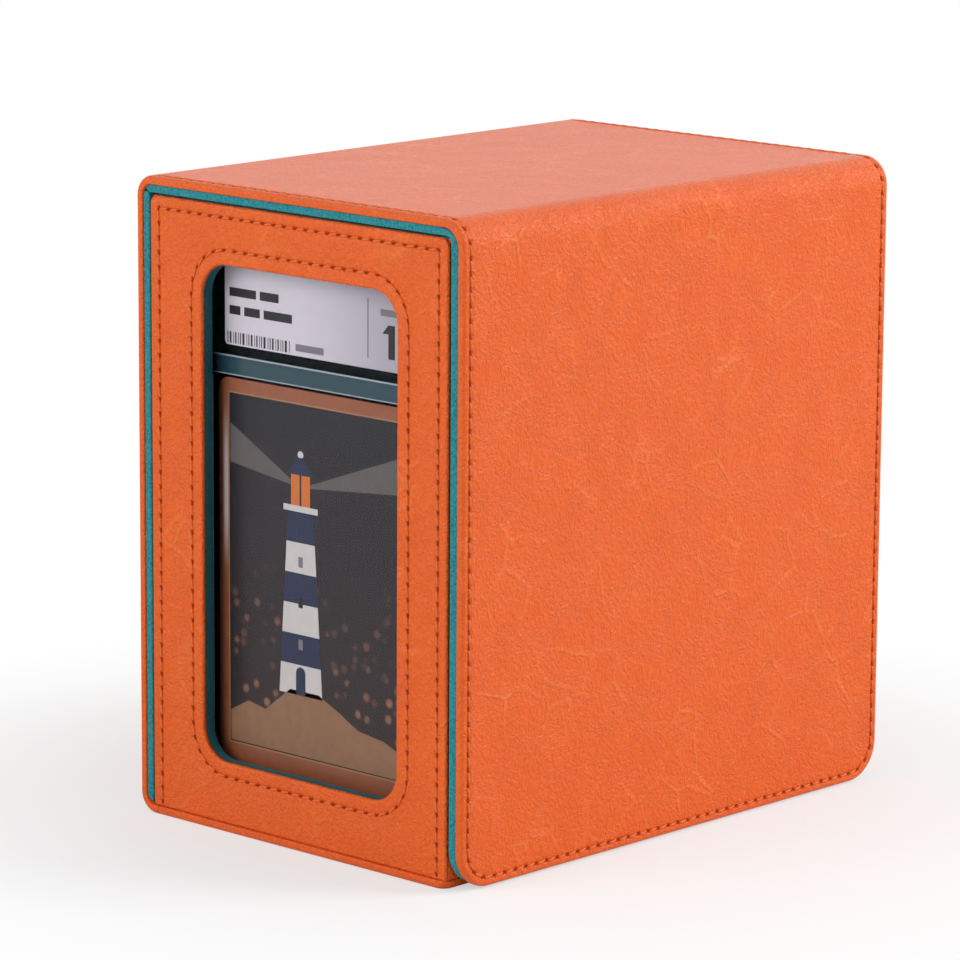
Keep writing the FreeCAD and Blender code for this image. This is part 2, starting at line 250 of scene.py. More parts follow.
def grained_leather():
    """Smooth coated leather: wrinkles about a millimetre wide, a few pale creases, and a satin gloss that
    grows at a grazing look."""
    material, tree, output, place = new_material("grained_leather")
    drift = node(tree, "TexNoise", {"Vector": place, "Scale": 1 / (16 * mm), "Detail": 3.0})
    pull = node(tree, "TexNoise", {"Vector": place, "Scale": 1 / (11 * mm), "Detail": 1.5})
    shift = node(tree, "VectorMath", {0: pull.outputs["Color"], "Scale": 5 * mm}, operation="SCALE")
    drawn = node(tree, "VectorMath", {0: place, 1: shift.outputs[0]}, operation="ADD").outputs[0]
    # Wrinkles that flow with the pull of the hide: swellings, and fine grooves along the level lines
    # between them
    wrinkle = node(tree, "TexNoise", {
        "Vector": drawn, "Scale": 1 / (0.75 * mm), "Detail": 2.0, "Roughness": 0.55, "Distortion": 0.3,
    }).outputs["Fac"]
    web = node(tree, "TexNoise", {
        "Vector": drawn, "Scale": 1 / (2.2 * mm), "Detail": 3.0, "Roughness": 0.6,
    }).outputs["Fac"]
    level = node(tree, "Math", {0: web, 1: 0.5}, operation="SUBTRACT")
    level = node(tree, "Math", {0: level.outputs[0]}, operation="ABSOLUTE")
    groove = node(tree, "MapRange", {
        "Value": level.outputs[0], "From Min": 0.0, "From Max": 0.08, "To Min": 1.0, "To Max": 0.0,
    }, interpolation_type="SMOOTHSTEP").outputs[0]
    # A few longer creases
    creases = node(tree, "TexVoronoi", {"Vector": drawn, "Scale": 1 / (12 * mm)},
                   feature="DISTANCE_TO_EDGE")
    crease_line = node(tree, "MapRange", {
        "Value": creases.outputs["Distance"], "From Min": 0.0, "From Max": 0.06, "To Min": 1.0, "To Max": 0.0,
    }, interpolation_type="SMOOTHSTEP")
    some = node(tree, "MapRange", {"Value": drift.outputs["Fac"], "From Min": 0.45, "From Max": 0.65})
    crease = node(tree, "Math", {0: crease_line.outputs[0], 1: some.outputs[0]}, operation="MULTIPLY")
    # Colour: a broad drift between two oranges, paler on creases, and painted shade that darkens the grooves
    body = node(tree, "Mix", {
        0: drift.outputs["Fac"], 6: linear("#E25A10"), 7: linear("#EA6414"),
    }, data_type="RGBA")
    paler = node(tree, "Math", {0: crease.outputs[0], 1: 0.24}, operation="MULTIPLY")
    lit = node(tree, "Mix", {0: paler.outputs[0], 6: body.outputs[2], 7: linear("#F48A48")},
               data_type="RGBA")
    groove_shade = node(tree, "Math", {0: groove, 1: 0.15}, operation="MULTIPLY")
    colour = node(tree, "Mix", {0: groove_shade.outputs[0], 6: lit.outputs[2], 7: linear("#C44606")},
                  data_type="RGBA")
    # Relief: wrinkles, grooves and creases in one height
    sunk = node(tree, "Math", {0: groove, 1: 0.16}, operation="MULTIPLY")
    height = node(tree, "Math", {0: wrinkle, 1: sunk.outputs[0]}, operation="SUBTRACT")
    raised = node(tree, "Math", {0: crease.outputs[0], 1: 0.35}, operation="MULTIPLY")
    height = node(tree, "Math", {0: height.outputs[0], 1: raised.outputs[0]}, operation="ADD")
    relief = node(tree, "Bump", {"Height": height.outputs[0], "Distance": 0.45 * mm, "Strength": 1.0})
    facing = node(tree, "LayerWeight", {"Blend": 0.5}).outputs["Facing"]
    gleam = node(tree, "MapRange", {
        "Value": facing, "From Min": 0.4, "From Max": 0.8, "To Min": 0.38, "To Max": 0.72,
    })
    shader = node(tree, "BsdfPrincipled", {
        "Base Color": colour.outputs[2], "Roughness": 0.35, "Normal": relief.outputs[0],
        "IOR": 1.45, "Specular IOR Level": gleam.outputs[0],
    })
    tree.links.new(shader.outputs[0], output.inputs[0])
    return material


def polyester_thread():
    """Twisted sewing thread dyed to the leather: a satin twist that turns every half millimetre."""
    material, tree, output, place = new_material("polyester_thread")
    twist = node(tree, "TexNoise", {"Vector": place, "Scale": 1 / (0.5 * mm), "Detail": 2.0})
    colour = node(tree, "Mix", {
        0: twist.outputs["Fac"], 6: linear("#CE500F"), 7: linear("#EE7A36"),
    }, data_type="RGBA")
    relief = node(tree, "Bump", {"Height": twist.outputs["Fac"], "Distance": 0.05 * mm, "Strength": 0.5})
    shader = node(tree, "BsdfPrincipled", {
        "Base Color": colour.outputs[2], "Normal": relief.outputs[0], "Roughness": 0.5,
        "Specular IOR Level": 0.4,
    })
    tree.links.new(shader.outputs[0], output.inputs[0])
    return material


def needle_hole_shade():
    """Painted shade down in a needle hole: the cut edge of the leather painted a dark red brown that stands
    for the hole's shadow and takes no gloss.
    """
    material, tree, output, place = new_material("needle_hole_shade")
    speck = node(tree, "TexNoise", {"Vector": place, "Scale": 1 / (0.4 * mm)})
    colour = node(tree, "Mix", {
        0: speck.outputs["Fac"], 6: linear("#7E240A"), 7: linear("#A63A12"),
    }, data_type="RGBA")
    shader = node(tree, "BsdfPrincipled", {
        "Base Color": colour.outputs[2], "Roughness": 0.9, "Specular IOR Level": 0.1,
    })
    tree.links.new(shader.outputs[0], output.inputs[0])
    return material


def microfibre(name, dark, light, brushed_light):
    """Napped microfibre lining: a fine uneven pile, matt, with a faint pale bloom at grazing angles."""
    material, tree, output, place = new_material(name)
    pile = node(tree, "TexNoise", {"Vector": place, "Scale": 1 / (0.5 * mm), "Detail": 3.0})
    stroke = node(tree, "TexNoise", {"Vector": place, "Scale": 1 / (9 * mm), "Detail": 2.0})
    fleck = node(tree, "MapRange", {
        "Value": pile.outputs["Fac"], "From Min": 0.3, "From Max": 0.7, "To Min": 0.0, "To Max": 1.0,
    })
    colour = node(tree, "Mix", {
        0: fleck.outputs[0], 6: linear(dark), 7: linear(light),
    }, data_type="RGBA")
    brushed = node(tree, "MapRange", {
        "Value": stroke.outputs["Fac"], "From Min": 0.4, "From Max": 0.6, "To Min": 0.0, "To Max": 0.2,
    })
    colour = node(tree, "Mix", {0: brushed.outputs[0], 6: colour.outputs[2], 7: linear(brushed_light)},
                  data_type="RGBA")
    relief = node(tree, "Bump", {"Height": pile.outputs["Fac"], "Distance": 0.12 * mm, "Strength": 0.7})
    shader = node(tree, "BsdfPrincipled", {
        "Base Color": colour.outputs[2], "Normal": relief.outputs[0], "Roughness": 0.95,
        "Specular IOR Level": 0.1, "Sheen Weight": 0.12, "Sheen Roughness": 0.5,
    })
    tree.links.new(shader.outputs[0], output.inputs[0])
    return material


def grey_board():
    """Bookbinder's grey board: pressed pulp with light and dark fibres."""
    material, tree, output, place = new_material("grey_board")
    fibre = node(tree, "TexNoise", {"Vector": place, "Scale": 1 / (0.8 * mm), "Detail": 5.0})
    colour = node(tree, "Mix", {
        0: fibre.outputs["Fac"], 6: linear("#7C766D"), 7: linear("#A8A298"),
    }, data_type="RGBA")
    shader = node(tree, "BsdfPrincipled", {"Base Color": colour.outputs[2], "Roughness": 0.9})
    tree.links.new(shader.outputs[0], output.inputs[0])
    return material


def nickel_plate():
    """Nickel-plated magnet: bright metal with a slightly uneven plating."""
    material, tree, output, place = new_material("nickel_plate")
    cloud = node(tree, "TexNoise", {"Vector": place, "Scale": 1 / (3 * mm), "Detail": 3.0})
    rough = node(tree, "MapRange", {"Value": cloud.outputs["Fac"], "To Min": 0.18, "To Max": 0.32})
    shader = node(tree, "BsdfPrincipled", {
        "Base Color": linear("#C9C5BC"), "Metallic": 1.0, "Roughness": rough.outputs[0],
    })
    tree.links.new(shader.outputs[0], output.inputs[0])
    return material


def clear_acrylic():
    """Clear moulded acrylic: light passes straight through, with a polished reflection over it."""
    material, tree, output, place = new_material("clear_acrylic")
    haze = node(tree, "TexNoise", {"Vector": place, "Scale": 1 / (6 * mm), "Detail": 3.0})
    rough = node(tree, "MapRange", {"Value": haze.outputs["Fac"], "To Min": 0.03, "To Max": 0.1})
    through = node(tree, "BsdfTransparent", {"Color": linear("#FBFAFB")})
    gloss = node(tree, "BsdfGlossy", {"Color": linear("#6E6E6E"), "Roughness": rough.outputs[0]})
    angle = node(tree, "Fresnel", {"IOR": 1.49})
    leaving = node(tree, "NewGeometry").outputs["Backfacing"]
    entering = node(tree, "Math", {0: 1.0, 1: leaving}, operation="SUBTRACT")
    mirror = node(tree, "Math", {0: angle.outputs[0], 1: entering.outputs[0]}, operation="MULTIPLY")
    shader = node(tree, "MixShader", {0: mirror.outputs[0], 1: through.outputs[0], 2: gloss.outputs[0]})
    tree.links.new(shader.outputs[0], output.inputs[0])
    return material


def printed_paper(name, light, dark, roughness):
    """Printed paper or card: an even ink film with a faint paper tooth."""
    material, tree, output, place = new_material(name)
    tooth = node(tree, "TexNoise", {"Vector": place, "Scale": 1 / (2.5 * mm), "Detail": 4.0})
    colour = node(tree, "Mix", {0: tooth.outputs["Fac"], 6: linear(dark), 7: linear(light)},
                  data_type="RGBA")
    shader = node(tree, "BsdfPrincipled", {"Base Color": colour.outputs[2], "Roughness": roughness})
    tree.links.new(shader.outputs[0], output.inputs[0])
    return material


def silver_paper_painted_sheen():
    """Silvered label paper with a soft painted sheen: bright on the left and greyer towards the right."""
    material, tree, output, place = new_material("silver_paper_painted_sheen")
    low, high = node_box("slab_label")
    x = node(tree, "SeparateXYZ", {0: place}).outputs["X"]
    across = node(tree, "MapRange", {"Value": x, "From Min": low[0] * mm, "From Max": high[0] * mm})
    tooth = node(tree, "TexNoise", {"Vector": place, "Scale": 1 / (2.5 * mm), "Detail": 4.0})
    # Painted sheen: colour that runs from bright on the left to greyer on the right
    sheen = node(tree, "MapRange", {
        "Value": across.outputs[0], "From Min": 0.3, "From Max": 1.0, "To Min": 0.0, "To Max": 0.9,
    }, interpolation_type="SMOOTHSTEP")
    bright = node(tree, "Mix", {
        0: tooth.outputs["Fac"], 6: linear("#E0DDE6"), 7: linear("#ECE9F1"),
    }, data_type="RGBA")
    colour = node(tree, "Mix", {0: sheen.outputs[0], 6: bright.outputs[2], 7: linear("#B4B1BC")},
                  data_type="RGBA")
    shader = node(tree, "BsdfPrincipled", {"Base Color": colour.outputs[2], "Roughness": 0.4})
    tree.links.new(shader.outputs[0], output.inputs[0])
    return material


def night_print():
    """Printed night picture: charcoal that warms towards the foot, with blurred warm lights low down."""
    material, tree, output, place = new_material("night_print")
    z = node(tree, "SeparateXYZ", {0: place}).outputs["Z"]
    rise = node(tree, "MapRange", {"Value": z, "From Min": 15 * mm, "From Max": 100 * mm})
    sky = node(tree, "Mix", {
        0: rise.outputs[0], 6: linear("#352B2B"), 7: linear("#202127"),
    }, data_type="RGBA")
    lights = node(tree, "TexVoronoi", {"Vector": place, "Scale": 1 / (3.2 * mm), "Randomness": 1.0})
    spot = node(tree, "MapRange", {
        "Value": lights.outputs["Distance"], "From Min": 0.15, "From Max": 0.45, "To Min": 0.8, "To Max": 0.0,
    }, interpolation_type="SMOOTHSTEP")
    low = node(tree, "MapRange", {
        "Value": z, "From Min": 40 * mm, "From Max": 66 * mm, "To Min": 1.0, "To Max": 0.0,
    })
    pick = node(tree, "SeparateColor", {0: lights.outputs["Color"]}).outputs["Red"]
    some = node(tree, "MapRange", {"Value": pick, "From Min": 0.4, "From Max": 0.9})
    amount = node(tree, "Math", {0: spot.outputs[0], 1: low.outputs[0]}, operation="MULTIPLY")
    amount = node(tree, "Math", {0: amount.outputs[0], 1: some.outputs[0]}, operation="MULTIPLY")
    colour = node(tree, "Mix", {0: amount.outputs[0], 6: sky.outputs[2], 7: linear("#A8785A")},
                  data_type="RGBA")
    shader = node(tree, "BsdfPrincipled", {"Base Color": colour.outputs[2], "Roughness": 0.35})
    tree.links.new(shader.outputs[0], output.inputs[0])
    return material


def bronze_border_painted_light():
    """Bronze border of the card, printed, with painted light for a foil look: painted shade that darkens its
    left edge, and a pale painted highlight band beside that."""
    material, tree, output, place = new_material("bronze_border_painted_light")
    low, high = node_box("slab_card")
    shade_end, highlight_x = low[0] + 2.2, low[0] + 2.3
    highlight_z = low[2] + 0.72 * (high[2] - low[2])
    at = node(tree, "SeparateXYZ", {0: place}).outputs
    tooth = node(tree, "TexNoise", {"Vector": place, "Scale": 1 / (2.5 * mm), "Detail": 4.0})
    bronze = node(tree, "Mix", {
        0: tooth.outputs["Fac"], 6: linear("#94553A"), 7: linear("#AE6A48"),
    }, data_type="RGBA")
    # Painted shade: darker towards the left edge of the border
    edge = node(tree, "MapRange", {
        "Value": at["X"], "From Min": low[0] * mm, "From Max": shade_end * mm, "To Min": 0.75, "To Max": 0.0,
    }, interpolation_type="SMOOTHSTEP")
    shaded = node(tree, "Mix", {0: edge.outputs[0], 6: bronze.outputs[2], 7: linear("#2A1D18")},
                  data_type="RGBA")
    # Painted highlight: a pale band beside the dark edge, fading with the height away from its middle
    aside = node(tree, "Math", {0: at["X"], 1: highlight_x * mm}, operation="SUBTRACT")
    aside = node(tree, "Math", {0: aside.outputs[0]}, operation="ABSOLUTE")
    highlight_band = node(tree, "MapRange", {
        "Value": aside.outputs[0], "From Min": 0.2 * mm, "From Max": 1.3 * mm, "To Min": 1.0, "To Max": 0.0,
    }, interpolation_type="SMOOTHSTEP")
    away = node(tree, "Math", {0: at["Z"], 1: highlight_z * mm}, operation="SUBTRACT")
    away = node(tree, "Math", {0: away.outputs[0]}, operation="ABSOLUTE")
    reach = node(tree, "MapRange", {
        "Value": away.outputs[0], "From Min": 4 * mm, "From Max": 22 * mm, "To Min": 0.85, "To Max": 0.0,
    }, interpolation_type="SMOOTHSTEP")
    glint = node(tree, "Math", {0: highlight_band.outputs[0], 1: reach.outputs[0]}, operation="MULTIPLY")
    colour = node(tree, "Mix", {0: glint.outputs[0], 6: shaded.outputs[2], 7: linear("#E6DED6")},
                  data_type="RGBA")
    shader = node(tree, "BsdfPrincipled", {"Base Color": colour.outputs[2], "Roughness": 0.35})
    tree.links.new(shader.outputs[0], output.inputs[0])
    return material


leather = grained_leather()
thread = polyester_thread()
# Painted shade for the needle holes
hole = needle_hole_shade()
lining = microfibre("microfibre", "#14626C", "#3A9BA4", "#3A99A0")
# Darker copy of the lining: painted shade for the collar inside the window
painted_shade_lining = microfibre("microfibre_painted_shade", "#14474F", "#1E5861", "#256069")
board = grey_board()
nickel = nickel_plate()
acrylic = clear_acrylic()
label_paper = silver_paper_painted_sheen()
card_border_painted_light = bronze_border_painted_light()
night_ink = night_print()
white_ink = printed_paper("white_ink", "#E4E2DE", "#D2D0CC", 0.4)
navy_ink = printed_paper("navy_ink", "#2A3656", "#222C48", 0.4)
black_ink = printed_paper("black_ink", "#25252A", "#1C1C20", 0.4)
grey_ink = printed_paper("grey_ink", "#8A8890", "#7C7A82", 0.4)
rock_ink = printed_paper("rock_ink", "#A9805F", "#8C674B", 0.4)
lamp_ink = printed_paper("lamp_ink", "#E8853A", "#D9742C", 0.4)
beam_ink = printed_paper("beam_ink", "#6E6A66", "#605D5B", 0.4)
gold_ink = printed_paper("gold_ink", "#B98A63", "#A87A55", 0.3)
smoky_plastic = printed_paper("smoky_plastic", "#284C58", "#20404A", 0.2)
# Pale painted highlight for edges inside the holder
painted_edge_highlight = printed_paper("painted_edge_highlight", "#B4C2CA", "#98A6AE", 0.3)


# Stitching


def travelled(line):
    """Distance along a line of points from its start to each of them."""
    return np.concatenate([[0.0], np.cumsum(np.linalg.norm(np.diff(line, axis=0), axis=1))])


def spread(length):
    """Number of stitches that fits a seam best, each about one pitch long."""
    return max(int(round(length / stitch_pitch)), 1)


def at_fractions(line, values, fractions):
    """Values carried by a line of points, at the given fractions of its length."""
    way = travelled(line)
    return np.stack([np.interp(fractions, way / way[-1], column) for column in values.T], axis=1)


def unit(vectors):
    """The same directions, one long."""
    return vectors / np.linalg.norm(vectors, axis=-1, keepdims=True)


def seam_dip(points, holes):
    """How deep the leather is drawn in near a seam: a shallow groove that falls off with the distance from
    the line through the holes, and a pit round each hole, both bell-shaped."""
    flat = points.reshape(-1, 1, 3)
    start, run = holes[None, :-1], np.diff(holes, axis=0)[None]
    part = np.clip(np.sum((flat - start) * run, axis=2) / np.sum(run * run, axis=2), 0, 1)
    to_line = np.linalg.norm(flat - start - run * part[..., None], axis=2).min(axis=1)
    to_hole = np.linalg.norm(flat - holes[None], axis=2).min(axis=1)
    groove = groove_depth * np.exp(-((to_line / groove_width) ** 2))
    pit = pit_depth * np.exp(-((to_hole / pit_width) ** 2))
    return (groove + pit).reshape(points.shape[:-1])


def thread_tubes(holes, normals):
    """Points and faces of the stitches of one seam: tubes between the holes, highest at their middle and
    drawn down at their ends, laid a little askew."""
    sides, sections = 6, 6
    start, run = holes[:-1, None], np.diff(holes, axis=0)[:, None]
    up = unit(normals[:-1] + normals[1:])[:, None]
    aside = np.cross(unit(run), up)
    part = np.linspace(thread_start, 1 - thread_start, sections)[None, :, None]
    swing = 2 * part - 1
    drawn = np.abs(swing) ** 3
    lift = thread_lift - thread_drop * drawn
    radius = thread_radius * (1 - thread_taper * drawn)
    middle = start + run * part + up * lift - aside * thread_skew * swing
    turn = np.arange(sides)[None, None, :, None] * 2 * math.pi / sides
    ring = aside[:, :, None] * np.cos(turn) + up[:, :, None] * np.sin(turn)
    points = middle[:, :, None] + ring * radius[:, :, None]
    return points.reshape(-1, 3), repeated(swept_faces(sections, sides), len(run), sections * sides)


def needle_hole_shadows(holes, normals):
    """Points and faces of the needle holes of one seam: slanted ovals down in their pits, each with a tip
    below. The ovals carry the dark painted shade of the holes."""
    rim = 8
    way = unit(np.gradient(holes, axis=0))
    if np.allclose(holes[0], holes[-1]):
        # A closed loop has one hole where it starts and ends
        holes, normals, way = holes[:-1], normals[:-1], way[:-1]
    across = np.cross(way, normals)
    angle = np.arange(rim) * 2 * math.pi / rim
    slant = math.radians(slit_slant)
    long_way = slit_length / 2 * np.cos(angle)
    short_way = slit_width / 2 * np.sin(angle)
    u = long_way * math.cos(slant) - short_way * math.sin(slant)
    v = -(long_way * math.sin(slant) + short_way * math.cos(slant))
    floor = holes - normals * slit_depth
    ovals = floor[:, None] + way[:, None] * u[None, :, None] + across[:, None] * v[None, :, None]
    tips = holes - normals * slit_tip
    points = np.concatenate([ovals, tips[:, None]], axis=1)
    faces = [[i, (i + 1) % rim, rim] for i in range(rim)] + [list(range(rim))]
    return points.reshape(-1, 3), repeated(faces, len(holes), rim + 1)


def add_stitching(name, rows):
    """One piece that holds the stitches of several seams, each given as its holes and their normals."""
    all_points, all_faces, kinds, first = [], [], [], 0
    for holes, normals in rows:
        for kind, form in enumerate((thread_tubes, needle_hole_shadows)):
            points, faces = form(holes, normals)
            all_points.append(points)
            all_faces += [[first + i for i in face] for face in faces]
            kinds += [kind] * len(faces)
            first += len(points)
    return add_piece(name, np.concatenate(all_points), all_faces, [thread, hole], kinds)


# Lines with rounded corners


def corner_radius(corner, insets, most):
    """Radius of a rounded corner on lines at these insets: it shrinks with the inset, grows with a negative
    one, and ends at nothing in the middle."""
    half = corner / 2
    return np.where(insets <= half, corner - insets, half * (most - insets) / (most - half))


def rounded_lines(vertices, radii, ways, counts, arc_steps):
    """Lines with rounded corners, one row for each inset: straight stretches from vertex to vertex, each in
    its own way, with a quarter-round arc from one way to the next."""
    turn = np.linspace(0, quarter_turn, arc_steps, endpoint=False)[:, None]
    ways = np.array(ways, float)
    runs = []
    for k, count in enumerate(counts):
        start = (vertices[k] + radii[k] * ways[k])[:, None]
        end = (vertices[k + 1] - radii[k + 1] * ways[k])[:, None]
        runs.append(start + (end - start) * np.linspace(0, 1, count, endpoint=False)[:, None])
        if k + 1 < len(ways):
            radius = radii[k + 1][:, None]
            centre = end + radius * ways[k + 1]
            runs.append(centre + radius * (ways[k] * np.sin(turn) - ways[k + 1] * np.cos(turn)))
    return np.concatenate(runs, axis=1)


def ring_lines(u_span, v_span, corners, insets, counts):
    """Closed rounded rectangles, one row for each inset: four sides and four corners in turn from the low
    side."""
    n_u, n_v, n_arc = counts
    a = np.asarray(insets, float)[:, None]
    most = min(u_span[1] - u_span[0], v_span[1] - v_span[0]) / 2
    left, right, low, high = u_span[0] + a, u_span[1] - a, v_span[0] + a, v_span[1] - a
    vertices = [np.hstack(p) for p in ((left, low), (right, low), (right, high), (left, high), (left, low))]
    radii = [corner_radius(corner, a, most) for corner in (*corners, corners[0])]
    ways = ((1, 0), (0, 1), (-1, 0), (0, -1), (1, 0))
    lines = rounded_lines(vertices, radii, ways, (n_u, n_v, n_u, n_v), n_arc)
    return lines[..., 0], lines[..., 1]


def u_lines(half_span, reach, corner, insets, counts):
    """U-shaped lines, one row for each inset: along one leg, round a corner, across the foot, round the other
    corner and back along the other leg."""
    legs, arcs, foot = counts
    a = np.asarray(insets)[:, None]
    side = half_span - a
    r = corner_radius(corner, a, half_span)
    vertices = [np.hstack(p) for p in ((0 * a, -side), (reach - a, -side), (reach - a, side), (0 * a, side))]
    ways = ((1, 0), (0, 1), (-1, 0))
    lines = rounded_lines(vertices, (0 * a, r, r, 0 * a), ways, (legs, foot, legs), arcs)
    lines = np.concatenate([lines, vertices[-1][:, None]], axis=1)
    return lines[..., 0], lines[..., 1]


# Leather cover


def wrapped_edge():
    """Insets and depths of the lines that run round a leather-wrapped board of the cover: from the middle
    of its outside, over the seam and a quarter-round edge, down the rim, round the tucked edge and to the
    middle of its inside."""
    roll_inset, roll_depth = quarter_round(edge_roll, 8)
    tuck_depth, tuck_inset = quarter_round(tucked_edge, 8)
    field = half_depth * np.array([1.0, 0.75, 0.5, 0.32, 0.2, 0.13, 0.08])
    stitched = cover_seam + seam_lines
    inside = half_depth * np.array([0.03, 0.1, 0.4, 1.0])
    insets = np.concatenate([field, stitched, roll_inset, tuck_inset[::2], inside])
    depths = np.concatenate([
        0 * field, 0 * stitched, roll_depth, cover_thickness - tuck_depth[::2], 0 * inside + cover_thickness,
    ])
    return insets, depths


def u_panel(name, reach, corner, place, stitched):
    """Leather-wrapped panel with a rounded foot: U-shaped lines from the middle of the outside over the
    edge to the middle of the inside, drawn in along the seam where there is one. Gives its seams as holes
    and normals."""
    insets, depths = wrapped_edge()
    corner_steps = 34
    counts = (int(reach / seam_step), corner_steps, int(2 * half_depth / seam_step))
    along, across = u_lines(half_depth, reach, corner, insets, counts)
    depth = depths[:, None] + 0 * along
    points = place(along, across, depth)
    normals = points - place(along, across, depth + 1)
    seams = []
    if stitched:
        line = np.flatnonzero(np.isclose(insets, cover_seam) & (depths == 0))[0]
        seam_length = travelled(points[line])[-1]
        end = lap / seam_length
        fractions = np.linspace(end, 1 - end, spread(seam_length - 2 * lap) + 1)
        holes = at_fractions(points[line], points[line], fractions)
        seams.append((holes, unit(at_fractions(points[line], normals[line], fractions))))
        near = np.flatnonzero((np.abs(insets - cover_seam) < seam_reach) & (depths == 0))
        points[near] -= seam_dip(points[near], holes)[..., None] * normals[near]
    lines, columns = along.shape
    first_side = np.arange(lines) * columns
    end_cap = there_and_back(first_side, first_side + columns - 1)
    faces = grid_faces(lines, columns).tolist() + [end_cap.tolist()]
    return add_piece(name, points, faces, [leather]), seams


def straight_run(start, end, normal):
    """Points of a straight stretch of the cover's outside, as x, z and the outward direction."""
    count = max(int(math.dist(start, end) / seam_step), 2)
    part = np.linspace(0, 1, count)[:, None]
    place = np.array(start) * (1 - part) + np.array(end) * part
    return np.hstack([place, np.repeat(np.array([normal], float), count, axis=0)])


def bend(centre, radius, start, end):
    """Points of a round stretch of the cover's outside, from one angle to another in degrees."""
    angle = np.radians(np.linspace(start, end, 25))[:, None]
    outward = np.hstack([np.cos(angle), np.sin(angle)])
    return np.hstack([np.array(centre) + radius * outward, outward])


def joined(runs):
    """One path from runs that follow each other."""
    return np.vstack([runs[0]] + [run[1:] for run in runs[1:]])


def on_path(path, lift):
    """Function that lays a flat panel along a path, a hair proud of it, by distance along, across and
    below, and the length of the path."""
    distance = travelled(path[:, :2])

    def place(along, across, depth):
        x, z, out_x, out_z = (np.interp(along, distance, path[:, k]) for k in range(4))
        scale = (depth - lift) / np.hypot(out_x, out_z)
        wider = across * (1 + lift / half_depth)
        return np.stack([x - scale * out_x, wider, z - scale * out_z], axis=-1)

    return place, distance[-1]


def strip(name, runs, seam_span, lift):
    """Leather-wrapped strip: the section of the cover's two edges carried along a path of straight and
    round runs, drawn in along both seams over the given fractions of the path. Gives its seams as holes and
    normals."""
    path = joined(runs)
    place, length = on_path(path, lift)
    insets, depths = wrapped_edge()
    y = there_and_back(insets - half_depth, half_depth - insets)
    depth = there_and_back(depths)
    edge = there_and_back(insets)
    along = travelled(path[:, :2])[:, None] + 0 * y[None]
    across, below = y[None] + 0 * along, depth[None] + 0 * along
    points = place(along, across, below)
    normals = points - place(along, across, below + 1)
    seams = []
    count = spread(length * (seam_span[1] - seam_span[0]))
    seam_along = length * np.linspace(*seam_span, count + 1)
    for side in (-1, 1):
        seam_y = np.full(count + 1, side * (half_depth - cover_seam))
        holes = place(seam_along, seam_y, 0 * seam_y)
        seams.append((holes, holes - place(seam_along, seam_y, 0 * seam_y + 1)))
        near = np.flatnonzero((np.abs(edge - cover_seam) < seam_reach) & (depth == 0) & (np.sign(y) == side))
        points[:, near] -= seam_dip(points[:, near], holes)[..., None] * normals[:, near]
    return add_piece(name, points, swept_faces(len(path), len(y)), [leather]), seams


spine_bend_x = spine_bend_radius - half_width
spine_bend_high = case_height - spine_bend_radius
flap_bend_x = half_width - flap_bend_radius
flap_bend_z = case_height - flap_bend_radius
spine_top = spine_bend_high - spine_bend_flat
lid_right = flap_bend_x - flap_bend_flat
base_left = spine_bend_x + spine_bend_flat

base_panel, _ = u_panel(
    "base_panel", base_right - base_left, base_corner,
    lambda along, across, depth: np.stack([base_left + along, across, depth], axis=-1), False,
)
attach(base_panel, "tray")
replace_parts(base_panel, "base_leather")

foot_runs = [
    straight_run((base_left, 0), (spine_bend_x, 0), (0, -1)),
    bend((spine_bend_x, spine_bend_radius), spine_bend_radius, -90, -180),
    straight_run((-half_width, spine_bend_radius), (-half_width, spine_top), (-1, 0)),
]
foot_length = spine_bend_flat + spine_bend_radius * quarter_turn
spine_length = foot_length + spine_top - spine_bend_radius
spine_panel, spine_seams = strip(
    "spine_panel", foot_runs, (foot_length / spine_length, 1 - 2 * lap / spine_length), 0
)
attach(spine_panel, "tray")
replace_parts(spine_panel, "spine_leather")

# The lid's skin starts on the spine and rounds the bend; the flap's starts on the lid and does the same.
# Each seam ends a lap short of the place where the next skin begins.
lid_runs = [
    straight_run((-half_width, spine_top - lap), (-half_width, spine_bend_high), (-1, 0)),
    bend((spine_bend_x, spine_bend_high), spine_bend_radius, 180, 90),
    straight_run((spine_bend_x, case_height), (lid_right, case_height), (0, 1)),
]
lid_length = lap + spine_bend_flat + spine_bend_radius * quarter_turn + lid_right - spine_bend_x
lid_panel, lid_seams = strip("lid_panel", lid_runs, (lap / lid_length, 1 - 2 * lap / lid_length), lap_lift)
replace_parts(lid_panel, "lid_leather")

flap_runs = [
    straight_run((lid_right - lap, case_height), (flap_bend_x, case_height), (0, 1)),
    bend((flap_bend_x, flap_bend_z), flap_bend_radius, 90, 0),
    straight_run((half_width, flap_bend_z), (half_width, flap_foot), (1, 0)),
]
flap_place, flap_reach = on_path(joined(flap_runs), 2 * lap_lift)
flap_panel, flap_seams = u_panel("flap_panel", flap_reach, flap_corner, flap_place, True)
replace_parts(flap_panel, "flap_leather")


def blend_over(piece, axis, direction):
    """Bakes a piece's placement into its mesh; it bends nothing, and its axis and direction are not used."""
    axis, direction = np.array(axis) * mm, np.array(direction) * mm
    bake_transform(piece)


diagonal = math.sqrt(0.5)
lid_axis = (spine_bend_x - spine_bend_radius * diagonal, 0, spine_bend_high + spine_bend_radius * diagonal)
flap_axis = (flap_bend_x + flap_bend_radius * diagonal, 0, flap_bend_z + flap_bend_radius * diagonal)
lid_way = (diagonal, 0, diagonal)
flap_way = (diagonal, 0, -diagonal)

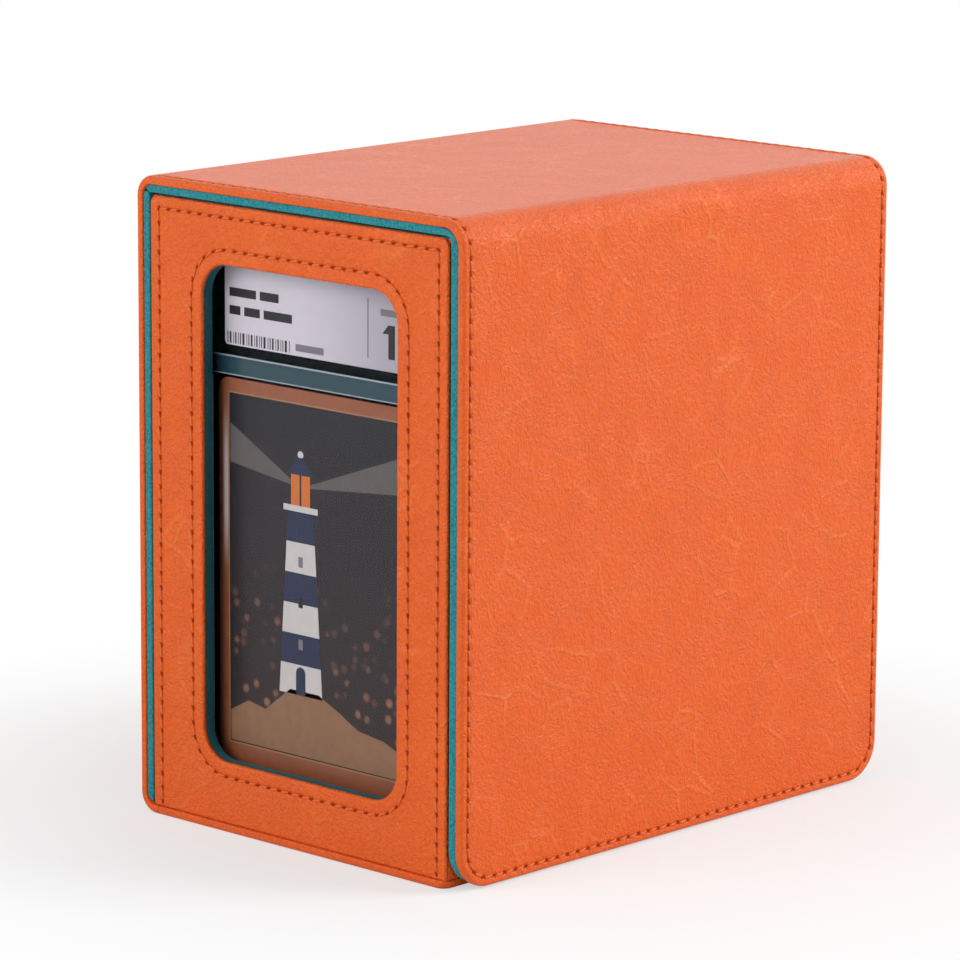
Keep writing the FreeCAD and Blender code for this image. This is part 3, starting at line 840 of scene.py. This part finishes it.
spine_stitching = add_stitching("spine_stitching", spine_seams)
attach(spine_stitching, "tray")
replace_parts(spine_stitching, "spine_thread")
lid_stitching = add_stitching("lid_stitching", lid_seams)
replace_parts(lid_stitching, "lid_thread")
flap_stitching = add_stitching("flap_stitching", flap_seams)
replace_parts(flap_stitching, "flap_thread")
for piece in (lid_panel, lid_stitching):
    blend_over(piece, lid_axis, lid_way)
for piece in (flap_panel, flap_stitching):
    blend_over(piece, flap_axis, flap_way)


# Front and back panels of the tray


def steps_in(span, step):
    """Number of steps that fit a span."""
    return int((span[1] - span[0]) / step)


# Insets of the flat lines between a seam and a rolled edge
edge_lines = np.array([1.4, 1.0])
window_span = ((window_low[0], window_high[0]), (window_low[2], window_high[2]))


def panel_edge():
    """Insets and depths of the lines round the outside of an end panel, from beyond its seam over the
    rolled edge."""
    roll_inset, roll_depth = quarter_round(panel_roll, 7)
    flat = np.concatenate([panel_seam + seam_lines, edge_lines])
    insets = np.concatenate([flat, roll_inset, [0.0]])
    depths = np.concatenate([0 * flat, roll_depth, [panel_thickness]])
    return insets, depths


def window_edge():
    """Distances from the window and depths of the lines round it, from its back edge over the rolled rim to
    beyond its seam."""
    roll_depth, roll_inset = quarter_round(window_roll, 7)
    flat = np.concatenate([edge_lines[::-1], window_seam - seam_lines])
    grown = np.concatenate([[0.0], roll_inset, flat])
    depths = np.concatenate([[panel_thickness], roll_depth, 0 * flat])
    return grown, depths


def edge_seam(left, right, foot, top, y):
    """Holes of the seam that runs up the left side of an end panel, along its top and down its right side."""
    up = np.linspace(foot, top, spread(top - foot) + 1)
    over = np.linspace(left, right, spread(right - left) + 1)
    x = np.concatenate([0 * up + left, over[1:], 0 * up[1:] + right])
    z = np.concatenate([up, 0 * over[1:] + top, up[::-1][1:]])
    return np.stack([x, 0 * x + y, z], axis=1)


def end_panel(name, side, window):
    """Leather sheet of the front or back of the tray, with a rolled edge all round. The front one has a
    window with a rolled rim and a seam round it: its lines run from the window's back edge out to the
    panel's own edge and close behind the sheet. The back one closes to its middle instead. Gives its seams
    as holes and normals."""
    face_y = panel_low[1]
    x_span, z_span = (panel_low[0], panel_high[0]), (panel_low[2], panel_high[2])
    corners = (panel_foot_corner, panel_foot_corner, panel_corner, panel_corner)
    corner_steps = 14
    counts = (steps_in(x_span, seam_step), steps_in(z_span, seam_step), corner_steps)
    insets, depths = panel_edge()
    if window:
        grown, sunk = window_edge()
        window_x, window_z = ring_lines(*window_span, (window_corner,) * 4, -grown, counts)
        x, z = ring_lines(x_span, z_span, corners, insets, counts)
        x, z, depths = np.vstack([window_x, x]), np.vstack([window_z, z]), np.concatenate([sunk, depths])
    else:
        middle = (x_span[1] - x_span[0]) / 2
        field = middle * np.array([1.0, 0.5, 0.2])
        x, z = ring_lines(x_span, z_span, corners, np.concatenate([field, insets, [middle]]), counts)
        depths = np.concatenate([0 * field, depths, [panel_thickness]])
    points = np.stack([x, face_y + depths[:, None] + 0 * x, z], axis=-1)
    seams = [edge_seam(
        x_span[0] + panel_seam, x_span[1] - panel_seam,
        z_span[0] + panel_seam_foot, z_span[1] - panel_seam, face_y,
    )]
    if window:
        line = np.flatnonzero(np.isclose(grown, window_seam))[0]
        loop = np.vstack([points[line], points[line][:1]])
        seams.append(at_fractions(loop, loop, np.linspace(0, 1, spread(travelled(loop)[-1]) + 1)))
    flat = np.flatnonzero(depths == 0)
    for holes in seams:
        points[flat, :, 1] += seam_dip(points[flat], holes)
    mirror = np.array([1, side, 1])
    outward = np.array([[0, -1.0 * side, 0]])
    faces = grid_faces(*x.shape, round_rows=window, round_columns=True)
    piece = add_piece(name, points * mirror, faces, [leather])
    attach(piece, "tray")
    return piece, [(holes * mirror, np.repeat(outward, len(holes), axis=0)) for holes in seams]


front_panel, front_seams = end_panel("front_panel", 1, True)
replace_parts(front_panel, "front_leather")
back_panel, back_seams = end_panel("back_panel", -1, False)
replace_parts(back_panel, "back_leather")
for name, seam, replaced in (
    ("front_edge_stitching", front_seams[0], "front_edge_thread"),
    ("window_stitching", front_seams[1], "window_thread"),
    ("back_edge_stitching", back_seams[0], "back_edge_thread"),
):
    stitching = add_stitching(name, [seam])
    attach(stitching, "tray")
    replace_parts(stitching, replaced)


# Padded linings of the cover and rolled sheets of the tray


def crowned_form(name, span, corners, depth, roll, draw, place, material):
    """Closed flat form with a crowned face: rounded rectangles from the middle of its back, out to its
    edge, over a rolled rim and to the middle of its face. Towards the rim the face is drawn in, falling off
    over a few millimetres."""
    u_span, v_span = span
    most = min(u_span[1] - u_span[0], v_span[1] - v_span[0]) / 2
    roll_inset, roll_depth = quarter_round(roll, 6)
    heel = min(0.25, depth / 4)
    back = np.array([most, heel])
    face = most * np.array([0.05, 0.09, 0.15, 0.25, 0.5, 1.0])
    face = face[face > roll]
    rim = depth - draw
    fullness = draw * (1 - np.exp(-(face - roll) / crown_reach))
    insets = np.concatenate([back, [0.0], roll_inset[::-1], face])
    heights = np.concatenate([0 * back, [heel], rim - roll_depth[::-1], rim + fullness])
    step, corner_steps = 2, 10
    counts = (steps_in(u_span, step), steps_in(v_span, step), corner_steps)
    u, v = ring_lines(u_span, v_span, corners, insets, counts)
    points = place(u, v, heights[:, None] + 0 * u)
    return add_piece(name, points, grid_faces(*u.shape, round_columns=True), [material])


mitre_gap = 0.12
mitre_slope = 0.78
lid_pad_low, lid_pad_high = node_box("lid_pad")
spine_pad_low, spine_pad_high = node_box("spine_pad")
flap_pad_low, flap_pad_high = node_box("flap_pad")
floor_low, floor_high = node_box("floor_lining")
spine_pad_depth = spine_pad_high[0] - spine_pad_low[0]
flap_pad_corner = flap_corner - (half_depth - flap_pad_high[1])
# The flap's lining runs up into the end of the lining that rounds the bend
flap_lining_top = node_box("bend_lining")[0][2] + pad_roll
floor_draw = 0.15


def spine_pad_place(u, v, height):
    """Stands the pad up against the spine. Its ends are cut back round where the cover turns in behind it,
    and its top is mitred against the lining of the lid."""
    behind = spine_pad_depth - np.minimum(height, spine_pad_depth)
    cut = spine_pad_depth - np.sqrt(spine_pad_depth ** 2 - behind ** 2)
    mitre = lid_pad_low[2] - mitre_gap + behind * mitre_slope
    z = np.clip(v, spine_pad_low[2] + cut, np.minimum(spine_pad_high[2] - cut, mitre))
    return np.stack([spine_pad_low[0] + height, u, z], axis=-1)


def node_span(name, u, v):
    """Reach of a frame node along two of its axes."""
    low, high = node_box(name)
    return (low[u], high[u]), (low[v], high[v])


spine_pad = crowned_form(
    "spine_lining", node_span("spine_pad", 1, 2), (square_corner,) * 4, spine_pad_depth, pad_roll, pad_draw,
    spine_pad_place, lining,
)
flap_pad = crowned_form(
    "flap_lining", ((flap_pad_low[1], flap_pad_high[1]), (flap_pad_low[2], flap_lining_top)),
    (flap_pad_corner,) * 2 + (square_corner,) * 2, flap_pad_high[0] - flap_pad_low[0], pad_roll, pad_draw,
    lambda u, v, height: np.stack([flap_pad_high[0] - height, u, v], axis=-1), lining,
)
floor_pad = crowned_form(
    "floor_cloth", node_span("floor_lining", 0, 1), (square_corner,) * 4, floor_high[2] - floor_low[2],
    sheet_roll, floor_draw, lambda u, v, height: np.stack([u, v, floor_low[2] + height], axis=-1), lining,
)
for pad, body, replaced in (
    (spine_pad, "tray", "spine_pad"),
    (flap_pad, "flap", "flap_pad"),
    (floor_pad, "tray", "floor_lining"),
):
    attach(pad, body)
    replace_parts(pad, replaced)


def side_sheet(name, replaced, side):
    """Leather sheet on the outside of a side wall, with a rolled edge."""
    low, high = node_box(replaced)
    inner_x = low[0] if side > 0 else high[0]
    sheet = crowned_form(
        name, node_span(replaced, 1, 2), (square_corner,) * 4, high[0] - low[0], sheet_roll, 0.0,
        lambda u, v, height: np.stack([inner_x + side * height, u, v], axis=-1), leather,
    )
    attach(sheet, "tray")
    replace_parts(sheet, replaced)


side_sheet("left_wall_cover", "left_wall_leather", -1)
side_sheet("right_wall_cover", "right_wall_leather", 1)


def arc(centre, radius, angles):
    """Points on a circle at the given angles in radians."""
    return np.array(centre) + radius * np.stack([np.cos(angles), np.sin(angles)], axis=1)


def lid_lining_lines():
    """Outer line under the leather and inner line of the lid's lining, as x and z: a mitred left end, a
    flat stretch, and the bend to the flap, which the inner line turns tightly."""
    low, high = node_box("bend_lining")
    inner_x, inner_z = flap_pad_low[0], lid_pad_low[2]
    inner_corner, clearance, mitre, run_in = 0.8, 0.05, math.radians(135), 1
    left_radius = spine_bend_radius - cover_thickness - clearance
    turn = np.linspace(quarter_turn, 0, 19)
    left_turn = np.linspace(mitre, quarter_turn, 8)
    left_x = np.linspace(lid_pad_low[0], spine_bend_x, len(left_turn))
    flat_x = np.linspace(spine_bend_x, flap_bend_x - run_in, 30)[1:]
    outer_flat = np.stack([flat_x, 0 * flat_x + lid_pad_high[2]], axis=1)
    inner_flat = np.stack([flat_x, 0 * flat_x + inner_z], axis=1)
    outer_bend = np.vstack([
        outer_flat[-1:], arc((flap_bend_x, flap_bend_z), high[0] - flap_bend_x, turn), [[high[0], low[2]]],
    ])
    inner_bend = np.vstack([
        inner_flat[-1:], arc((inner_x - inner_corner, inner_z - inner_corner), inner_corner, turn),
        [[inner_x, low[2]]],
    ])
    outer_left = arc((spine_bend_x, spine_bend_high), left_radius, left_turn)
    inner_left = np.stack([left_x, 0 * left_x + inner_z], axis=1)
    part = np.linspace(0, 1, 26)
    outer = np.vstack([outer_left, outer_flat, at_fractions(outer_bend, outer_bend, part)[1:]])
    inner = np.vstack([inner_left, inner_flat, at_fractions(inner_bend, inner_bend, part)[1:]])
    return outer, inner


def lid_lining():
    """Padded lining of the lid, carried on round the bend to the flap: a crowned section with rolled ends
    between an outer and an inner line."""
    outer, inner = lid_lining_lines()
    # Section: from the middle of the outer side over the end to the middle of the crowned inner side, as
    # insets from the end and as shares of the way from the outer to the inner line
    round_inset, round_depth = quarter_round(1, 5)
    reach = node_box("bend_lining")[1][1]
    rim, outer_roll, inner_roll, outer_share, inner_share, face_start = 0.92, 0.3, 0.4, 0.1, 0.18, 0.8
    face = np.array([1.5, 3.0, 6.0, 12.0, 25.0, reach])
    crown = 1 - (1 - rim) * np.exp(-(face - face_start) / crown_reach)
    inset = np.concatenate([[reach], outer_roll * round_inset, inner_roll * round_inset[::-1], face])
    share = np.concatenate([[0.0], outer_share * round_depth, rim - inner_share * round_depth[::-1], crown])
    y = there_and_back(inset - reach, reach - inset)
    share = there_and_back(share)[None, :, None]
    section = outer[:, None] * (1 - share) + inner[:, None] * share
    points = np.stack([section[..., 0], y[None] + 0 * section[..., 0], section[..., 1]], axis=-1)
    piece = add_piece("lid_lining", points, swept_faces(len(outer), len(y)), [lining])
    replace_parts(piece, "lid_pad", "bend_lining")
    blend_over(piece, flap_axis, flap_way)


lid_lining()


def hemmed_sheet(name, replaced, across, length, outer_face, sheet_face, inner_face, foot, spans):
    """Lining sheet of a wall with a rounded hem over the top of its board: a section like a walking stick
    carried along the wall. Across and length are the axes of the wall's thickness and run; spans are the
    reach of the hem and of the sheet below it."""
    top = node_box(replaced)[1][2]
    way = math.copysign(1, inner_face - outer_face)
    board_top = top - abs(inner_face - sheet_face)
    rise, run = quarter_round(hem_radius, 7)
    t = np.concatenate([
        [outer_face], outer_face + way * run, (inner_face - way * run)[::-1],
        [inner_face, sheet_face, sheet_face],
    ])
    z = np.concatenate([[board_top], top - rise, (top - rise)[::-1], [foot, foot, board_top]])
    hem, sheet = spans
    below = (z < board_top - 0.01)[None, :]
    row = np.linspace(0, 1, 40)[:, None]
    run_at = np.where(below, sheet[0] + (sheet[1] - sheet[0]) * row, hem[0] + (hem[1] - hem[0]) * row)
    points = np.zeros((*run_at.shape, 3))
    points[..., across] = t[None]
    points[..., length] = run_at
    points[..., 2] = z[None]
    piece = add_piece(name, points, swept_faces(len(row), len(t)), [lining])
    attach(piece, "tray")
    return piece


left_low, left_high = node_box("left_lining")
right_low, right_high = node_box("right_lining")
front_low, front_high = node_box("front_lining")
side_spans = ((left_low[1], left_high[1]), (front_high[1] - cloth, cloth - front_high[1]))
end_run = (left_high[0], right_low[0])
end_spans = ((front_low[0], front_high[0]), end_run)
hem_foot = front_high[2] - 4

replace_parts(hemmed_sheet(
    "left_wall_cloth", "left_lining", 0, 1, left_low[0], left_high[0] - cloth, left_high[0], left_low[2],
    side_spans,
), "left_lining")
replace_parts(hemmed_sheet(
    "right_wall_cloth", "right_lining", 0, 1, right_high[0], right_low[0] + cloth, right_low[0], right_low[2],
    side_spans,
), "right_lining")
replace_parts(hemmed_sheet(
    "back_wall_cloth", "back_lining", 1, 0, -front_low[1], cloth - front_high[1], -front_high[1],
    front_low[2], end_spans,
), "back_lining")
hemmed_sheet(
    "front_wall_hem", "front_lining", 1, 0, front_low[1], front_high[1] - cloth, front_high[1], hem_foot,
    end_spans,
)


def window_cloth():
    """Lining of the front wall: rounded lines from the edge of the sheet to the window, where it turns
    through the board to the leather, and back along the board."""
    rise, run = quarter_round(hem_radius, 7)
    chamfer = 0.3
    counts = (60, 90, 16)
    back, front = front_high[1], front_low[1]
    sheet_back = back - cloth
    # Lines round the window, from the board through the opening to the back of the sheet
    grown = np.concatenate([[cloth, cloth, chamfer, 0.0], run])
    window_y = np.concatenate([[sheet_back, front, front, front + chamfer], back - rise])
    window_x, window_z = ring_lines(*window_span, (window_corner,) * 4, -grown, counts)
    # Lines round the edge of the sheet
    sheet_span = (end_run, (front_low[2], front_high[2] - hem_radius))
    edge_x, edge_z = ring_lines(*sheet_span, (square_corner,) * 4, [chamfer, 0.0, 0.0], counts)
    x, z = np.vstack([window_x, edge_x]), np.vstack([window_z, edge_z])
    y = np.concatenate([window_y, [back, back - chamfer, sheet_back]])
    points = np.stack([x, y[:, None] + 0 * x, z], axis=-1)
    faces = grid_faces(*x.shape, round_rows=True, round_columns=True)
    # The lines round the window, the collar through the opening, take the darker copy of the lining as
    # painted shade
    kinds = np.repeat(np.arange(len(x)) < len(grown), x.shape[1]).astype(int)
    piece = add_piece("front_wall_cloth", points, faces, [lining, painted_shade_lining], kinds)
    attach(piece, "tray")
    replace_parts(piece, "front_lining")


window_cloth()


def straight_sweep(y, z, left, right, steps):
    """Points of a section in y and z carried straight along x."""
    x = np.linspace(left, right, steps)[:, None] + 0 * z[None]
    return np.stack([x, y[None] + 0 * x, z[None] + 0 * x], axis=-1)


def divider_cover():
    """Cloth over the loose divider: two leaves and a rounded fold over the top of the board."""
    low, high = node_box("divider_cloth")
    board_low, board_high = node_box("divider_board")
    middle, half = (high[1] + low[1]) / 2, (high[1] - low[1]) / 2
    inner = (board_high[1] - board_low[1]) / 2
    angle = np.linspace(math.pi, 0, 13)
    foot, top = low[2], board_high[2]
    y = middle + np.concatenate([[-half], half * np.cos(angle), [half, inner, inner, -inner, -inner]])
    z = np.concatenate([[foot], high[2] - half + half * np.sin(angle), [foot, foot, top, top, foot]])
    steps = 40
    points = straight_sweep(y, z, low[0], high[0], steps)
    piece = add_piece("divider_cover", points, swept_faces(steps, len(y)), [lining])
    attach(piece, "divider")
    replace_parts(piece, "divider_cloth")


divider_cover()


# Printing on the label and the card in the holder


def bar(x0, z0, x1, z1):
    """Outline of an upright bar."""
    return np.array([(x0, z0), (x1, z0), (x1, z1), (x0, z1)])


def post(x, half, z0, z1):
    """Outline of a bar about a middle line."""
    return bar(x - half, z0, x + half, z1)


def taper(x, low_half, high_half, z0, z1):
    """Outline of a bar that narrows upwards about a middle line."""
    return np.array([(x - low_half, z0), (x + low_half, z0), (x + high_half, z1), (x - high_half, z1)])


def disc(x, z, radius, start=0, end=360):
    """Outline of a disc, or of the part of it between two angles in degrees."""
    return arc((x, z), radius, np.radians(np.linspace(start, end, 25)))


def add_print(name, face_y, shapes):
    """Flat printed shapes on a face that looks to the front, each layer a hair in front of the one before."""
    ink_step = 0.015
    points, faces, kinds, inks = [], [], [], []
    first = 0
    for layer, outline, ink in shapes:
        y = np.full((len(outline), 1), face_y - ink_step * (layer + 1))
        points.append(np.hstack([outline[:, :1], y, outline[:, 1:]]))
        faces.append(list(range(first, first + len(outline))))
        first += len(outline)
        if ink not in inks:
            inks.append(ink)
        kinds.append(inks.index(ink))
    piece = add_piece(name, np.vstack(points), faces, inks, kinds, solid=False)
    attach(piece, "tray")
    return piece


def card_print():
    """Picture of a lighthouse at night inside the card's bronze border."""
    low, high = node_box("slab_card")
    border, foot_border = 3.7, 5.2
    left, right, foot, top = low[0] + border, high[0] - border, low[2] + foot_border, high[2] - border
    tower = left + 0.4 * (right - left)
    base, gallery = foot + 14, top - 24
    rail, lamp, cap, tip = gallery + 1.4, gallery + 5.5, gallery + 8.4, gallery + 12.4
    shapes = []
    for layer, (margin, ink) in enumerate(((0.7, gold_ink), (0.3, black_ink), (0.0, night_ink))):
        shapes.append((layer, bar(left - margin, foot - margin, right + margin, top + margin), ink))
    # Beams of light to both sides, with their corners in the same turn
    beam_low, beam_high = lamp + 3, lamp + 12
    shapes.append((3, np.array([(tower, lamp), (left, beam_high), (left, beam_low)]), beam_ink))
    shapes.append((3, np.array([(right, beam_low), (right, beam_high), (tower, lamp)]), beam_ink))
    # Tower in bands, narrowing upwards
    bands = 6
    level = np.linspace(base, gallery, bands + 1)
    half = np.linspace(6.8, 4.0, bands + 1)
    for i in range(bands):
        ink = navy_ink if i % 2 else white_ink
        shapes.append((4, taper(tower, half[i], half[i + 1], level[i], level[i + 1]), ink))
    # Gallery, lantern, roof and door
    door_half, door_top = 1.5, base + 5
    shapes += [
        (5, post(tower, 5.4, gallery, rail), white_ink),
        (5, post(tower, 3.0, rail, cap), lamp_ink),
        (6, post(tower, 0.3, rail, cap), navy_ink),
        (5, taper(tower, 4.4, 0.5, cap, tip), navy_ink),
        (5, disc(tower, gallery + 13, 0.9), white_ink),
        (5, post(tower, door_half, base, door_top), navy_ink),
        (5, disc(tower, door_top, door_half, 0, 180), navy_ink),
    ]
    # Tower windows
    for share, ink in ((0.25, grey_ink), (0.48, black_ink), (0.7, grey_ink)):
        z = base + share * (gallery - base)
        shapes.append((6, post(tower, 0.7, z, z + 2.4), ink))
    # Rocks along the foot
    rock_x = left + (right - left) * np.array([0, 0.1, 0.2, 0.34, 0.5, 0.62, 0.72, 0.86, 1.0, 1.0, 0.0])
    rock_z = foot + np.array([7, 10, 9, 15, 15, 12, 9, 8, 5, 0, 0])
    shapes.append((4, np.stack([rock_x, rock_z], axis=1)[::-1], rock_ink))
    return add_print("card_print", low[1], shapes)


def label_print():
    """Label of the holder: two lines of bars for words, a row of thin bars with a short bar beside it, a
    rule, and a plain figure one under another short bar."""
    low, high = node_box("slab_label")
    left, foot, top = low[0] + 1.5, low[2], high[2]
    word_height, word_gap, first_line, line_pitch = 2.0, 1.2, 12.4, 4.1
    shapes = []
    for line, lengths in enumerate(((8.5, 6.0), (3.5, 5.0, 9.0))):
        x, z = left, top - first_line - line_pitch * line
        for length in lengths:
            shapes.append((0, bar(x, z, x + length, z + word_height), black_ink))
            x += length + word_gap
    # Row of thin bars
    widths = (0.5, 0.9, 0.35, 0.7, 0.35, 0.5, 1.1, 0.35)
    inked, gap = 0.6, 0.25
    row_left, row_length, row_low, row_high = left - 0.7, 20, foot + 0.4, foot + 3.0
    x, i = row_left, 0
    while x < row_left + row_length:
        width = widths[i % len(widths)]
        shapes.append((0, bar(x, row_low, x + width * inked, row_high), black_ink))
        x += width + gap
        i += 1
    shapes.append((0, bar(left + 21, foot + 1.1, left + 29.8, foot + 2.7), grey_ink))
    # Rule, with a short bar and a plain figure one on its right
    rule = left + 43.3
    stem_left, stem_right, stem_top = rule + 6.4, rule + 8.4, top - 13.2
    flag = np.array([(stem_left - 1.8, stem_top - 2), (stem_left, stem_top - 2), (stem_left, stem_top)])
    shapes += [
        (0, bar(rule, foot + 2.3, rule + 0.35, top - 7.9), grey_ink),
        (0, bar(rule + 4, top - 11.3, rule + 12, top - 9.8), grey_ink),
        (0, bar(stem_left, foot + 2.8, stem_right, stem_top), black_ink),
        (0, flag, black_ink),
    ]
    return add_print("label_print", low[1], shapes)


card_print()
label_print()


def holder_ridge():
    """Moulded ridge of the holder between label and card, seen through its front: a low bar with rounded
    edges that carry a pale painted highlight, and a pale painted highlight line along the pocket's left edge."""
    card_low, card_high = node_box("slab_card")
    face_y = node_box("slab_cradle")[0][1]
    low, high = card_high[2] + 0.7, node_box("slab_label")[0][2] - 2.2
    left, right = card_low[0] - 1.5, card_high[0] + 1.5
    radius, rise, steps = 0.35, 0.3, 30
    turn = np.linspace(0, quarter_turn, 6)
    inset = radius * (1 - np.cos(turn))
    z = np.concatenate([low + inset, (high - inset)[::-1]])
    y = face_y - rise * np.concatenate([np.sin(turn), np.sin(turn)[::-1]])
    # The flat top of the bar is smoky; its edges and ends carry a pale painted highlight
    flat_top = np.arange(len(z)) == len(turn) - 1
    kinds = np.concatenate([np.tile(np.where(flat_top, 0, 1), steps - 1), [1, 1]])
    ridge = add_piece(
        "holder_ridge", straight_sweep(y, z, left, right, steps), swept_faces(steps, len(z)),
        [smoky_plastic, painted_edge_highlight], kinds,
    )
    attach(ridge, "tray")
    # Painted highlight: a thin pale line left of the card, at the pocket's edge
    line = bar(left - 0.3, card_low[2], left - 0.12, card_high[2])
    add_print("holder_pocket_edge_highlight", face_y, [(0, line, painted_edge_highlight)])


holder_ridge()


# Nodes of the frame that keep their shape
for slot, material in {
    "orange_leather": leather,
    "orange_thread": thread,
    "teal_microfibre": lining,
    "grey_board": board,
    "plated_magnet": nickel,
    "clear_plastic": acrylic,
    "label_paper": label_paper,
    "card_stock": card_border_painted_light,
}.items():
    for subpart in frame["record"]["subparts"]:
        if subpart["material_slot"] == slot:
            mesh = frame["nodes"][subpart["node"]].data
            mesh.materials.clear()
            mesh.materials.append(material)


# Studio


def white_floor():
    """Matt white that fades, for the camera alone, into an even white away from the object."""
    material, tree, output, place = new_material("white_floor")
    seen = node(tree, "LightPath").outputs["Is Camera Ray"]
    away = node(tree, "VectorMath", {0: place}, operation="LENGTH").outputs["Value"]
    fade = node(tree, "MapRange", {
        "Value": away, "From Min": 0.07, "From Max": 0.2, "To Min": 0.55, "To Max": 1.0,
    }, interpolation_type="SMOOTHSTEP")
    shown = node(tree, "Math", {0: fade.outputs[0], 1: seen}, operation="MULTIPLY")
    matt = node(tree, "BsdfDiffuse", {"Color": linear("#EDEDED")})
    glow = node(tree, "Emission", {"Color": linear("#FFFFFF"), "Strength": 1.0})
    shader = node(tree, "MixShader", {0: shown.outputs[0], 1: matt.outputs[0], 2: glow.outputs[0]})
    tree.links.new(shader.outputs[0], output.inputs[0])
    return material


def floor():
    """Pale floor that keeps the object's shadow."""
    reach = 4.0
    corners = [(-reach, -reach, 0), (reach, -reach, 0), (reach, reach, 0), (-reach, reach, 0)]
    mesh = bpy.data.meshes.new("floor")
    mesh.from_pydata(corners, [], [(0, 1, 2, 3)])
    mesh.materials.append(white_floor())
    add_object("floor", mesh)


def surround():
    """White all round, full where it is seen or mirrored and weaker as light."""
    world = bpy.data.worlds.new("studio")
    bpy.context.scene.world = world
    world.use_nodes = True
    tree = world.node_tree
    tree.nodes.clear()
    ray = node(tree, "LightPath").outputs
    shown = ray["Is Camera Ray"]
    for kind in ("Is Glossy Ray", "Is Transmission Ray"):
        shown = node(tree, "Math", {0: shown, 1: ray[kind]}, operation="MAXIMUM").outputs[0]
    strength = node(tree, "MapRange", {"Value": shown, "To Min": 0.48, "To Max": 1.0}).outputs[0]
    backdrop = node(tree, "Background", {"Color": linear("#FFFFFF"), "Strength": strength})
    node(tree, "OutputWorld", {"Surface": backdrop.outputs[0]})


def look_rotation(aim, roll=0.0):
    """Rotation of a camera or lamp that looks along a direction with its top up, rolled by an angle in
    radians."""
    back = -unit(np.array(aim))
    right = unit(np.cross([0, 0, 1], back))
    up = np.cross(back, right)
    turned_right = math.cos(roll) * right + math.sin(roll) * up
    turned_up = math.cos(roll) * up - math.sin(roll) * right
    return Matrix(np.stack([turned_right, turned_up, back], axis=1).tolist()).to_euler()


def lamps():
    """Two soft lamps that look at the middle of the case."""
    target = np.array([0, 0, 0.07])
    for name, place, size, power in (
        ("side_lamp", (0.9, 0.7, 0.76), 0.7, 12.0),
        ("front_lamp", (-0.3, -1.2, 0.62), 0.9, 7.8),
    ):
        lamp = bpy.data.lights.new(name, "AREA")
        lamp.shape = "DISK"
        lamp.size = size
        lamp.energy = power
        stand = add_object(name, lamp)
        stand.location = place
        stand.rotation_euler = look_rotation(target - np.array(place))


def camera():
    """Camera at the photograph's viewing angle, fitted to the edges of the case."""
    azimuth, elevation, roll = np.radians([43.177, 11.424, 0.345])
    focal_pixels, image_pixels, sensor = 5050.9, 960, 36.0
    data = bpy.data.cameras.new("camera")
    data.sensor_width = sensor
    data.lens = focal_pixels / image_pixels * sensor
    data.clip_end = 20
    view = add_object("camera", data)
    aim = -np.array([
        math.sin(azimuth) * math.cos(elevation),
        -math.cos(azimuth) * math.cos(elevation),
        math.sin(elevation),
    ])
    view.location = np.array([777.4, -840.5, 306.0]) * mm
    view.rotation_euler = look_rotation(aim, roll)
    bpy.context.scene.camera = view


floor()
surround()
lamps()
camera()
bpy.context.scene.view_settings.view_transform = "Standard"
